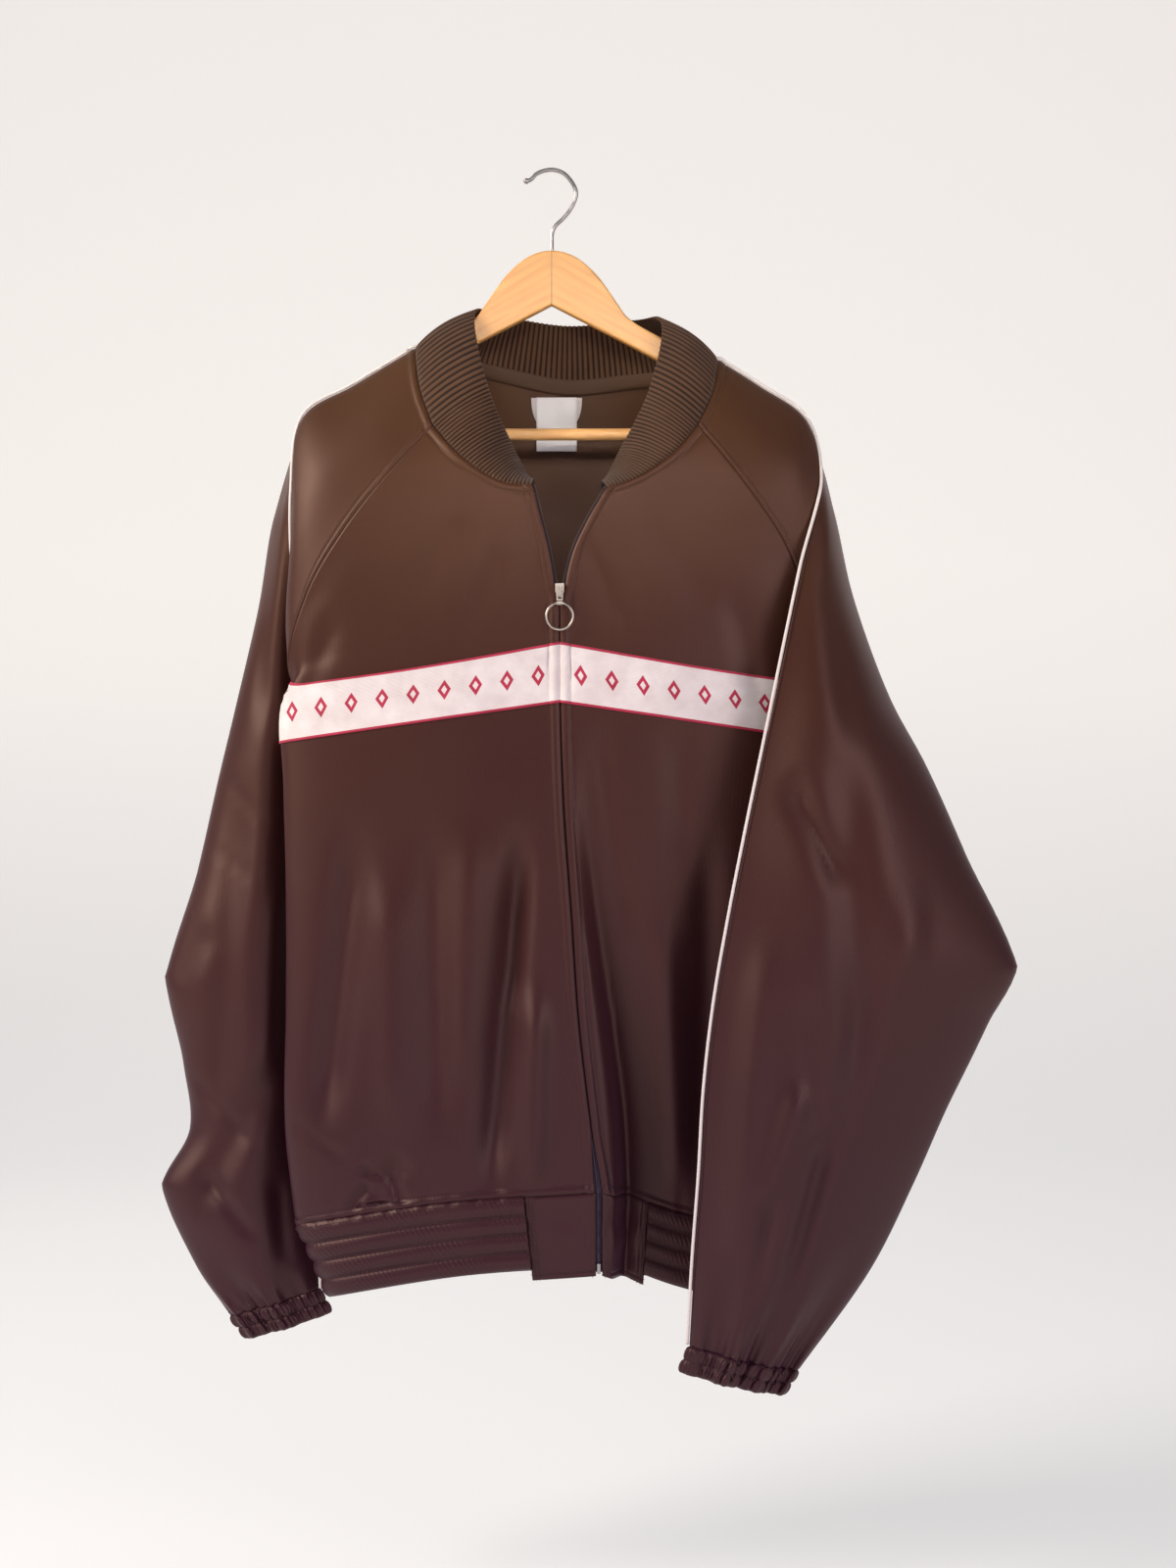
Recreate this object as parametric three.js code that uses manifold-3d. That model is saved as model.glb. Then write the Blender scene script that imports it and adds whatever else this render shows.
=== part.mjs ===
// A zip-front track jacket on a wooden hanger, in millimetres.
// The origin is the inner top of the hanger's hook, +Z is up, and the front faces -Y.
// Left and right are the wearer's, so the right side has negative x.
import * as THREE from "three";
import { mergeVertices } from "three/addons/utils/BufferGeometryUtils.js";
import Module from "manifold-3d";

const wasm = await Module();
wasm.setup();

// Driving dimensions
const CLOTH = 1.2; // wall of the smooth jersey
const SEAM_GAP = 0.3; // between two pieces at a seam, and between a piece and what lies on it
const RIB_KNIT = 2.2; // wall of the doubled rib collar
const RIB_HEIGHT = 0.7;
const RIBS_PER_STRIP = 2; // ribs between two neighbouring points of the neckline
const HEM_WALL = 1.8;
const HEM_DROP = 60;
const HEM_CHANNELS = 4;
const HEM_MIDDLE = 40; // x of the zip at the hem
const HEM_PULL = [0.9, 0.92]; // the elastic draws the hem's lower edge in, across and front to back
const HEM_PUFF = 2.6;
const HEM_GATHER = 0.9;
const TAB_COLUMNS = 3; // panel columns that the plain hem tab covers
const TAB_LENGTH = 1.15; // of the band's drop
const CUFF_WALL = 2;
const CUFF_DROP = 23;
const CUFF_PULL = 0.06; // the elastic draws its lower edge in
const CUFF_LEAN = 0.3; // how much of the sleeve's slant front to back it keeps
const CUFF_PUFF = 2.5;
const CUFF_GATHER = 1.8;
const PIPING_RADIUS = 1.3;
const PIPING_SIDES = 6;
const PIPING_HOLLOW = 2.1; // times further out where the halves meet in a hollow
const TRIM_WALL = 0.9; // tapes, label and loop
const ZIP_HALF_GAP = 2.9; // from the zip's middle line to a panel's folded edge
const ZIP_TAPE_WIDTH = 9;
const ZIP_TAPE_SLACK = 2; // how far its free edge stands off the cloth
const ZIP_LIFT = 0.4; // between the tape and the cloth it is sewn behind
const ZIP_BEAD = 1.2; // height of the chain on its tape
const ZIP_BEAD_START = [0.6, 0.9]; // where the tape steps up to the chain, past the folded edge
const ZIP_CHAIN_GAP = 1.1; // from the chain to the zip's middle line
const ZIP_MIDDLE = 7.5; // x of the zip at the chest
const CHEST_TOP = -401;
const CHEST_SLOPE = 0.145;
const CHEST_HEIGHT = 50;
const CHEST_LIFT = 0.5;
const CHEST_SIDE_LIFT = 3.6; // more at the side fold
const CHEST_ROWS = 3;
const CHEST_COLUMNS = 14; // of the panel's columns, from the zip to the side fold
const NECK_LIFT = 2; // from the back panel's outer face to what is sewn inside it
const TAPE_HEIGHT = 8;
const LABEL_X = [-14, 21];
const LABEL_TOP = -184;
const LABEL_HEIGHT = 46;
const LOOP_HALF = 22;
const LOOP_WIDTH = 6;
const LOOP_DROP = 30;
const LOOP_STEPS = 12;
const LINK_PIVOT = [7.4, -65.6, -359.5];
const LINK_LENGTH = 9.8; // from the pivot to the ring's wire
const LINK_HALF = 2.5;
const LINK_THICK = 1.1;
const LINK_ENDS = [0.8, -8.4]; // top and foot, from the pivot
const LINK_SLOT = { half: 1.4, top: -0.8, foot: -6.6 };
const KNUCKLE_RADIUS = 2.3;
const KNUCKLE_LENGTH = 4.4;
const RING_RADIUS = 11; // of the wire's middle line
const RING_WIRE = 1;
const RING_PLAY = 0.5;
const WIRE_RADIUS = 1.75;
const BAR_RADIUS = 5;
const BAR_Z = -222;
const BAR_HALF = 186;
const BAR_SOCKET = 16;
const STEM_HOLE = 24; // depth of the hole for the hook's stem
const WOOD_HALF = 5.2; // half the hanger's thickness
const WOOD_ROUNDING = 4;
const WOOD_TOP = -67;
const WOOD_APEX = -113;
const WOOD_SHOULDER_X = 65;
const WOOD_SHOULDER_Z = -124.2;
const WOOD_ARM_X = 191;
const WOOD_SLOPES = { left: 0.55, right: 0.575 }; // of the two arms' upper edges
// The hook's middle line, tip to stem: x, z
const HOOK_PATH = [
  [-23.7, -7.9],
  [-17.8, -6.2],
  [-12.6, -1.1],
  [-1, 2.2],
  [9.1, -0.3],
  [16.1, -7.1],
  [20.4, -15.5],
  [20.4, -20.6],
  [16.1, -30.7],
  [9.4, -39.3],
  [3.3, -45.2],
  [0.4, -51],
  [0, -60],
  [0, -77],
];

// Blocks of the zip's slider about the link's pivot: front plate, rear plate, the post between them,
// the two legs of the bail and the bail, over which the link hangs. half is half the width.
const SLIDER_BLOCKS = [
  { half: 4.3, y0: 2.4, y1: 3.9, z0: -5.5, z1: 6.5 },
  { half: 4.3, y0: 8.2, y1: 9.4, z0: -5.5, z1: 6.5 },
  { half: 0.7, y0: 2.9, y1: 8.7, z0: 3.4, z1: 6.2 },
  { half: 0.8, y0: -3.1, y1: 2.9, z0: 2.9, z1: 4.3 },
  { half: 0.8, y0: -3.1, y1: 2.9, z0: -5.2, z1: -3.8 },
  { half: 0.8, y0: -3.1, y1: -1.7, z0: -5.2, z1: 4.3 },
];
const END_BOX = { x0: -1.4, x1: 1.2, y0: -2, y1: 1.2, z0: 0.5, z1: 9 }; // about the zip's foot

// Mesh rows and columns
const SHOULDER_STEPS = 2; // rows between two stations of a raglan seam
const ARM_STEPS = 2;
const BODY_STEPS = 2;
const FRONT_COLUMNS = 16;
const BACK_COLUMNS = 16;
const SLEEVE_BACK_COLUMNS = 12;
const SLEEVE_FRONT_COLUMNS = 8;

const vec = (a) => new THREE.Vector3(a[0], a[1], a[2]);
const mix = (a, b, t) => a.clone().lerp(b, t);
const smooth = (t) => THREE.MathUtils.smoothstep(t, 0, 1);

function table(columns, rows) {
  const names = columns.split(" ");
  return rows.map((row) => Object.fromEntries(names.map((name, i) => [name, row[i]])));
}

// Sleeve stations at the shoulder, neck to underarm: o is the overarm seam, r the front raglan seam,
// b the back raglan seam, f the outer fold. ax, ay push the front half's middle, puff the back half's
// near side forward and rear its far side outward.
const SHOULDER = "ox oy oz rx ry rz bx by bz fx fy fz ax ay puff rear";
const RIGHT_SHOULDER = table(SHOULDER, [
  [-115, -2, -148.4, -98, -44, -220, -62, 36, -157, -93, 25, -151, -4, -5, 0, 0],
  [-168, -3, -180.6, -134, -53, -260, -100, 50, -215, -144, 36, -193, -5, -8, 0, 5],
  [-209, -6, -206, -172, -55, -309, -140, 54, -280, -213, 22, -240, -8, -9, 2, 9],
  [-217, -24, -272, -203, -50, -362, -172, 50, -345, -237, 20, -292, -3, -4, 5, 16],
  [-216, -14, -350, -219, -34, -425, -192, 38, -412, -252, 22, -372, -4, 3, 16, 22],
  [-210, 8, -440, -188, 22, -472, -188, 22, -472, -271, 24, -452, 2, -6, 26, 34],
]);
const LEFT_SHOULDER = table(SHOULDER, [
  [140, -2, -158, 122, -43, -219, 88, 36, -165, 118, 25, -160, 4, -5, 0, 0],
  [176, -3, -181, 146, -49, -249, 124, 50, -220, 160, 36, -198, 5, -8, 0, 5],
  [214, -8, -209, 172, -50, -284, 160, 54, -283, 222, 20, -240, 8, -9, 2, 9],
  [225, -28, -264, 198, -44, -325, 190, 50, -345, 240, 10, -292, 4, -2, 8, 16],
  [207, -56, -340, 220, -30, -388, 216, 38, -412, 256, 0, -362, 3, 0, 24, 22],
  [190, -75, -415, 216, 24, -470, 216, 24, -470, 284, -18, -446, 44, -10, 30, 16],
]);

// Sleeve stations below the underarm, down to the cuff seam: e is the underarm seam.
const ARM = "ox oy oz fx fy fz ex ey ez ax ay puff rear";
const RIGHT_ARM = table(ARM, [
  [-208, 15, -515, -285, 26, -508, -196, 64, -530, 8, 2, 30, 40],
  [-207, 18, -590, -304, 26, -592, -212, 94, -600, 10, 2, 34, 34],
  [-206, 19, -665, -328, 24, -684, -228, 102, -680, 10, 2, 36, 32],
  [-205, 18, -740, -315, 20, -757, -234, 98, -755, 10, 2, 32, 30],
  [-204, 16, -812, -309, 18, -812, -238, 90, -820, 10, 2, 30, 28],
  [-202, 13, -875, -329, 14, -860, -244, 78, -880, 8, 2, 28, 24],
  [-199, 8, -920, -304, 10, -925, -250, 60, -930, 4, 2, 22, 16],
  [-197, 4, -946, -273, 8, -970, -241, 40, -962, 3, 2, 14, 8],
]);
const LEFT_ARM = table(ARM, [
  [176, -83, -480, 312, -36, -502, 254, 20, -520, 14, -16, 34, 14],
  [160, -90, -555, 343, -48, -575, 294, 10, -592, 0, -14, 38, 12],
  [146, -94, -625, 380, -57, -669, 336, -16, -662, 0, -8, 38, 8],
  [134, -93, -695, 358, -60, -718, 334, -30, -735, 0, -4, 36, 6],
  [126, -91, -765, 325, -62, -785, 308, -38, -800, 0, -2, 34, 5],
  [122, -88, -835, 298, -64, -845, 284, -42, -860, 0, 0, 32, 4],
  [117, -82, -905, 262, -66, -916, 250, -45, -926, 0, 0, 28, 4],
  [113, -72, -978, 203, -62, -1000, 192, -44, -996, 0, 4, 16, 3],
]);

// Sections of the two front panels, hem to underarm, then up the raglan seam to the neck.
// z is the zip edge, m a middle point, e the front of the side fold, s the side seam.
const FRONT = "zx zy zz mx my mz ex ey ez sx sy sz";
const RIGHT_FRONT = table(FRONT, [
  [37, -67, -854, -88, -66, -863, -212, -36, -886, -190, 16, -890],
  [30, -67, -797, -92, -66, -799, -221, -38, -802, -190, 18, -806],
  [20, -66, -712, -98, -65, -706, -220, -38, -700, -189, 20, -722],
  [14, -65, -625, -102, -64, -617, -220, -38, -606, -188, 21, -638],
  [8, -63, -538, -106, -63, -530, -222, -38, -520, -188, 22, -555],
  [5, -61, -452, -108, -62, -450, -223, -38, -450, -188, 22, -472],
  [4.5, -61, -408, -100, -62, -410, -202, -49, -415],
  [4.5, -61, -365, -84, -62, -364, -172, -57, -358],
  [-1, -62, -328, -68, -61, -320, -138, -58, -311],
  [-8, -62, -300, -58, -60.5, -288, -106, -56, -270],
  [-15, -62, -272, -42, -61, -268, -74, -56, -247],
]);
const LEFT_FRONT = table(FRONT, [
  [43, -66, -854, 112, -36, -878, 218, -18, -900, 196, 24, -893],
  [36, -66, -797, 112, -38, -808, 220, -18, -815, 197, 24, -808],
  [26, -65, -712, 108, -43, -717, 221, -18, -722, 198, 24, -723],
  [20, -64, -625, 106, -48, -628, 222, -18, -632, 200, 24, -639],
  [13.5, -62, -538, 105, -53, -540, 222, -19, -542, 206, 24, -555],
  [11, -61, -452, 105, -56, -455, 222, -22, -458, 216, 24, -470],
  [10.5, -61, -408, 104, -57, -410, 204, -38, -396],
  [10.5, -61, -365, 92, -58, -358, 166, -51, -348],
  [18, -61.5, -328, 84, -58, -316, 142, -52, -303],
  [31, -62, -300, 78, -58, -286, 118, -52, -270],
  [46, -61, -274, 73, -59, -264, 102, -53, -243],
]);

// The back panel's middle, hem to neck, on the same stations.
const BACK_MIDDLE = table("y z bulge", [
  [58, -880, 16],
  [60, -800, 16],
  [62, -716, 16],
  [63, -632, 16],
  [64, -548, 16],
  [64, -466, 16],
  [63, -402, 9],
  [61, -338, 5],
  [58, -275, 3],
  [54, -222, 3],
  [46, -171, 3],
]);

// The collar's upper edge, zip to zip round the back, at matching places of the neckline:
// at the zip, half way, the raglan seam, the overarm seam, the back raglan seam and the middle back.
const COLLAR_TOP = [
  [-15, -15, -268],
  [-33, -27, -234],
  [-53, -33, -188],
  [-65, -4, -118.5],
  [-46, 25, -117],
  [13, 38, -124],
  [74, 25, -121],
  [93, -4, -126],
  [82, -33, -190],
  [57, -27, -240],
  [42, -15, -268],
];
const COLLAR_BULGE = 5;

// Soft folds as lines in the front view: from x0, z0 to x1, z1, half width w, depth d (minus is a ridge).
const FOLD = "x0 z0 x1 z1 w d";
const RIGHT_FRONT_FOLDS = table(FOLD, [
  [-172, -510, -178, -790, 15, 5],
  [-134, -600, -128, -800, 15, -4],
  [-98, -560, -100, -800, 14, 4],
  [-36, -690, -60, -850, 15, 10],
  [-11, -730, -16, -845, 12, -5],
  [-120, -826, -150, -862, 10, 4],
]);
const LEFT_FRONT_FOLDS = table(FOLD, [
  [92, -620, 104, -850, 12, -5],
  [130, -560, 128, -850, 14, 5],
]);
const BACK_FOLDS = table(FOLD, [
  [-110, -480, -120, -850, 22, -6],
  [-40, -330, -58, -850, 24, 5],
  [70, -340, 84, -850, 24, -5],
  [150, -480, 150, -850, 20, 6],
]);
const RIGHT_SLEEVE_FOLDS = table(FOLD, [
  [-262, -520, -282, -800, 16, 4],
  [-290, -640, -320, -690, 12, 4],
  [-240, -760, -300, -880, 14, 5],
]);
const LEFT_SLEEVE_FOLDS = table(FOLD, [
  [192, -515, 236, -600, 12, 6],
  [236, -480, 262, -860, 20, 6],
  [300, -600, 290, -820, 20, -6],
  [170, -640, 150, -900, 16, -5],
]);
// The deep fold beside the zip on the left front, which follows the zip as that drifts sideways.
const VALLEY = { startZ: -450, endZ: -850, depth: 33, near: 8, offset: 21, spread: 15 };
const ZIP_DRIFT = { x: 11, across: 32, startZ: -520, run: 340 };
const SLEEVE_GATHER = 3; // depth of the gathers above the cuffs

const curve = (points) => new THREE.CatmullRomCurve3(points, false, "centripetal");
const column = (rows, prefix) =>
  rows.map((row) => new THREE.Vector3(row[prefix + "x"], row[prefix + "y"], row[prefix + "z"]));

function foldDepth(folds, x, z) {
  let sum = 0;
  for (const f of folds) {
    const along = new THREE.Vector2(f.x1 - f.x0, f.z1 - f.z0);
    const length = along.length();
    along.divideScalar(length);
    const from = new THREE.Vector2(x - f.x0, z - f.z0);
    const t = from.dot(along) / length;
    const across = from.cross(along) / f.w;
    const ends = smooth(t / 0.3 + 0.3) * smooth((1 - t) / 0.3 + 0.3);
    sum += f.d * Math.exp(-across * across) * ends;
  }
  return sum;
}

// A surface through rails: rails[k] is a curve along the piece, and each section runs across them.
// stations is the number of station intervals, so that two pieces sharing a rail share its points.
function loft(rails, stations) {
  return (station, s) => {
    const controls = rails.map((rail) => rail.getPoint(station / stations));
    return curve(controls).getPointAt(s);
  };
}

function sampleLoft(surface, stationList, columns, displace) {
  return stationList.map((station) =>
    Array.from({ length: columns + 1 }, (_, c) => {
      const s = c / columns;
      const p = surface(station, s);
      if (displace && c > 0 && c < columns) displace(p, s, station);
      return p;
    }),
  );
}

// Two curves joined at a station, the second one's first point being the first one's last.
function railOf(first, second) {
  const [head, tail] = [curve(first), curve(second)];
  const split = first.length - 1;
  const last = split + second.length - 1;
  return {
    getPoint(t) {
      const station = t * last;
      if (station <= split) return head.getPoint(station / split);
      return tail.getPoint((station - split) / (last - split));
    },
  };
}

const stationsBetween = (from, to, steps) =>
  Array.from({ length: (to - from) * steps + 1 }, (_, i) => from + i / steps);

// Sleeves
function sleeveHalves(shoulder, arm, folds) {
  const overarm = [...column(shoulder, "o"), ...column(arm, "o")];
  const underarm = column(arm, "e");
  const frontEdge = [...column(shoulder, "r"), ...underarm];
  const backEdge = [...column(shoulder, "b"), ...underarm];
  const outer = [...column(shoulder, "f"), ...column(arm, "f")];
  const rows = [...shoulder, ...arm];
  const last = rows.length - 1;
  const underarmStation = shoulder.length - 1;

  const ridge = [1, 1, 0.8, 0, 0, 0]; // how far the cloth follows the hanger's arm before it falls
  const frontNear = overarm.map((o, i) => {
    const aim = mix(o, frontEdge[i], 0.16).add(vec([rows[i].ax * 0.5, rows[i].ay * 0.5, 0]));
    return mix(aim, o.clone().add(vec([0, -7, -5])), ridge[i] ?? 0);
  });
  const frontMiddle = overarm.map((o, i) =>
    mix(o, frontEdge[i], 0.55).add(vec([rows[i].ax, rows[i].ay, 0])),
  );
  const backNear = overarm.map((o, i) => {
    const aim = mix(o, outer[i], 0.45).add(vec([0, -rows[i].puff, 0]));
    return mix(aim, o.clone().add(vec([0, 12, -2.5])), ridge[i] ?? 0);
  });
  const sideways = Math.sign(overarm[0].x);
  const backFar = overarm.map((_, i) =>
    mix(outer[i], backEdge[i], 0.5).add(vec([sideways * rows[i].rear * 0.6, rows[i].rear * 0.5, 0])),
  );

  const stations = [
    ...stationsBetween(0, underarmStation, SHOULDER_STEPS),
    ...stationsBetween(underarmStation, last, ARM_STEPS).slice(1),
  ];
  const gather = (s, waves, station) => {
    const near = smooth((station - (last - 1.5)) / 1.5);
    return SLEEVE_GATHER * near * Math.sin(2 * Math.PI * waves * s);
  };
  const frontSeam = railOf(column(shoulder, "r"), [column(shoulder, "r").at(-1), ...underarm]);
  const backSeam = railOf(column(shoulder, "b"), [column(shoulder, "b").at(-1), ...underarm]);
  const back = loft([...[overarm, backNear, outer, backFar].map(curve), backSeam], last);
  const front = loft([...[overarm, frontNear, frontMiddle].map(curve), frontSeam], last);
  return {
    last,
    stations,
    frontSeam,
    backSeam,
    back: sampleLoft(back, stations, SLEEVE_BACK_COLUMNS, (p, s, station) => {
      const near = smooth(s / 0.15) * smooth((0.55 - s) / 0.15);
      const end = smooth((last - station) / 1.5);
      p.y += foldDepth(folds, p.x, p.z) * near * end;
      p.y -= gather(s, 4, station);
    }),
    front: sampleLoft(front, stations, SLEEVE_FRONT_COLUMNS, (p, s, station) => {
      p.y += gather(s, 3, station) * 0.6;
    }),
  };
}

const sleeveRight = sleeveHalves(RIGHT_SHOULDER, RIGHT_ARM, RIGHT_SLEEVE_FOLDS);
const sleeveLeft = sleeveHalves(LEFT_SHOULDER, LEFT_ARM, LEFT_SLEEVE_FOLDS);

// Body: the side seams meet the raglan seams at the underarm, so stations run hem, underarm, neck.
const SIDE_STATIONS = 5;
const RAGLAN_STATIONS = RIGHT_SHOULDER.length - 1;
const BODY_LAST = SIDE_STATIONS + RAGLAN_STATIONS;
const bodyStations = [
  ...stationsBetween(0, SIDE_STATIONS, BODY_STEPS),
  ...stationsBetween(SIDE_STATIONS, BODY_LAST, SHOULDER_STEPS).slice(1),
];

// A panel's outer edge: the side seam up to the underarm, then the sleeve's raglan seam backwards.
function outerEdge(sideRows, sleeve, raglan) {
  const side = curve(column(sideRows.slice(0, SIDE_STATIONS + 1), "s"));
  return {
    getPoint(t) {
      const station = t * BODY_LAST;
      return station <= SIDE_STATIONS
        ? side.getPoint(station / SIDE_STATIONS)
        : raglan.getPoint((BODY_LAST - station) / sleeve.last);
    },
  };
}

function frontPanel(rows, sleeve, folds, displace) {
  const rails = [curve(column(rows, "z")), curve(column(rows, "m")), curve(column(rows, "e"))];
  rails.push(outerEdge(rows, sleeve, sleeve.frontSeam));
  const surface = loft(rails, BODY_LAST);
  const shaped = (station, s) => {
    const p = surface(station, s);
    const fade = smooth(s / 0.08) * smooth((1 - s) / 0.12) * smooth((BODY_LAST - station) / 1.5);
    p.y += foldDepth(folds, p.x, p.z) * fade;
    if (displace) displace(p, s);
    return p;
  };
  return sampleLoft(shaped, bodyStations, FRONT_COLUMNS);
}

function valley(p, s) {
  const down = smooth((VALLEY.startZ - p.z) / (VALLEY.startZ - VALLEY.endZ));
  const zipX = ZIP_DRIFT.x + ZIP_DRIFT.across * smooth((ZIP_DRIFT.startZ - p.z) / ZIP_DRIFT.run);
  const away = p.x - zipX;
  const wall = smooth((away - VALLEY.near) / (VALLEY.offset - VALLEY.near));
  const far = Math.exp(-Math.max(0, away - VALLEY.offset) / (2 * VALLEY.spread));
  p.y += VALLEY.depth * down * wall * far * smooth((1 - s) / 0.2);
}

const frontRight = frontPanel(RIGHT_FRONT, sleeveRight, RIGHT_FRONT_FOLDS);
const frontLeft = frontPanel(LEFT_FRONT, sleeveLeft, LEFT_FRONT_FOLDS, valley);

function backPanel() {
  const rightEdge = outerEdge(RIGHT_FRONT, sleeveRight, sleeveRight.backSeam);
  const leftEdge = outerEdge(LEFT_FRONT, sleeveLeft, sleeveLeft.backSeam);
  const quarter = (edge, share) =>
    curve(
      BACK_MIDDLE.map((row, i) => {
        const side = edge.getPoint(i / BODY_LAST);
        const middle = vec([(rightX(i) + leftX(i)) / 2, row.y, row.z]);
        return mix(side, middle, share).add(vec([0, row.bulge, 0]));
      }),
    );
  const rightX = (i) => rightEdge.getPoint(i / BODY_LAST).x;
  const leftX = (i) => leftEdge.getPoint(i / BODY_LAST).x;
  const middle = curve(BACK_MIDDLE.map((row, i) => vec([(rightX(i) + leftX(i)) / 2, row.y, row.z])));
  const rails = [rightEdge, quarter(rightEdge, 0.3), middle, quarter(leftEdge, 0.3), leftEdge];
  const surface = loft(rails, BODY_LAST);
  const shaped = (station, s) => {
    const p = surface(station, s);
    const fade = smooth(s / 0.12) * smooth((1 - s) / 0.12) * smooth((BODY_LAST - station) / 2);
    p.y -= foldDepth(BACK_FOLDS, p.x, p.z) * fade;
    return p;
  };
  return { surface: shaped, grid: sampleLoft(shaped, bodyStations, BACK_COLUMNS) };
}

const back = backPanel();

// Patches and their shared normals: neighbouring pieces take the same direction at a seam point,
// so that their edges meet in a mitre.
const LONGEST_MITRE = 0.2;
const CROSSING_TRIM = 5; // where more than two pieces meet
const patches = [];
const seamNormals = new Map();
const keyOf = (p) => p.toArray().map((v) => Math.round(v * 500)).join(",");

function ownNormals(points, outward, ring) {
  const rows = points.length;
  const columns = points[0].length;
  const normals = points.map((row) => row.map(() => new THREE.Vector3()));
  for (let r = 0; r + 1 < rows; r++) {
    for (let c = 0; c + (ring ? 0 : 1) < columns; c++) {
      const d = (c + 1) % columns;
      const across = points[r + 1][d].clone().sub(points[r][c]);
      const other = points[r + 1][c].clone().sub(points[r][d]);
      const normal = across.cross(other).multiplyScalar(outward);
      for (const [i, j] of [[r, c], [r, d], [r + 1, c], [r + 1, d]]) normals[i][j].add(normal);
    }
  }
  return normals;
}

// sideSeam is the row step from the underarm point towards the side seam or the underarm seam.
function addPatch(name, points, outward, ring = false) {
  const sideSeam = name.startsWith("sleeve") ? 1 : -1;
  const patch = { name, points, outward, ring, sideSeam, normals: ownNormals(points, outward, ring) };
  points.forEach((row, r) =>
    row.forEach((p, c) => {
      const edge = r === 0 || r === points.length - 1 || (!ring && (c === 0 || c === row.length - 1));
      if (!edge) return;
      const key = keyOf(p);
      if (!seamNormals.has(key)) seamNormals.set(key, []);
      seamNormals.get(key).push(patch.normals[r][c].clone().normalize());
    }),
  );
  patches.push(patch);
  return patch;
}

// A unit normal for each point, and the mitred step to the inside of a wall 1 mm thick.
function settleNormals() {
  for (const patch of patches) {
    const meeting = patch.points.map((row, r) =>
      row.map((p, c) => seamNormals.get(keyOf(p)) ?? [patch.normals[r][c].clone().normalize()]),
    );
    patch.meeting = meeting.map((row) => row.map((list) => list.length));
    patch.normals = meeting.map((row) =>
      row.map((list) => list.reduce((sum, n) => sum.add(n), new THREE.Vector3()).normalize()),
    );
    patch.insides = patch.normals.map((row, r) =>
      row.map((n, c) => {
        const least = Math.min(...meeting[r][c].map((own) => own.dot(n)));
        const mitre = meeting[r][c].length > 2 ? 1 : Math.max(least, LONGEST_MITRE);
        return n.clone().divideScalar(-mitre);
      }),
    );
    for (let r = 1; r + 1 < meeting.length; r++) {
      for (const c of [0, meeting[r].length - 1]) {
        if (meeting[r][c].length > 2) patch.insides[r][c] = patch.insides[r + patch.sideSeam][c].clone();
      }
    }
  }
}

// Moves the edges of a piece back from its seams by half a seam gap.
function trimmed(patch) {
  const { points, normals, ring } = patch;
  const rows = points.length;
  const columns = points[0].length;
  const stepAt = (r, c) => (SEAM_GAP / 2) * (patch.meeting[r][c] > 2 ? CROSSING_TRIM : 1);
  const shift = points.map((row) => row.map(() => new THREE.Vector3()));
  const at = (r, c) => points[r][ring ? (c + columns) % columns : Math.min(Math.max(c, 0), columns - 1)];
  for (let c = 0; c < columns; c++) {
    for (const [r, inner] of [[0, 1], [rows - 1, rows - 2]]) {
      const tangent = at(r, c + 1).clone().sub(at(r, c - 1));
      const inward = points[inner][c].clone().sub(points[r][c]);
      shift[r][c].add(backFrom(tangent, normals[r][c], inward, stepAt(r, c)));
    }
  }
  for (let r = 0; !ring && r < rows; r++) {
    for (const [c, inner] of [[0, 1], [columns - 1, columns - 2]]) {
      const tangent = points[Math.min(r + 1, rows - 1)][c].clone().sub(points[Math.max(r - 1, 0)][c]);
      const inward = points[r][inner].clone().sub(points[r][c]);
      shift[r][c].add(backFrom(tangent, normals[r][c], inward, stepAt(r, c)));
    }
  }
  return { ...patch, points: points.map((row, r) => row.map((p, c) => p.clone().add(shift[r][c]))) };
}

function backFrom(tangent, normal, inward, step) {
  const direction = tangent.cross(normal).normalize();
  return direction.multiplyScalar(direction.dot(inward) < 0 ? -step : step);
}

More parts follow.
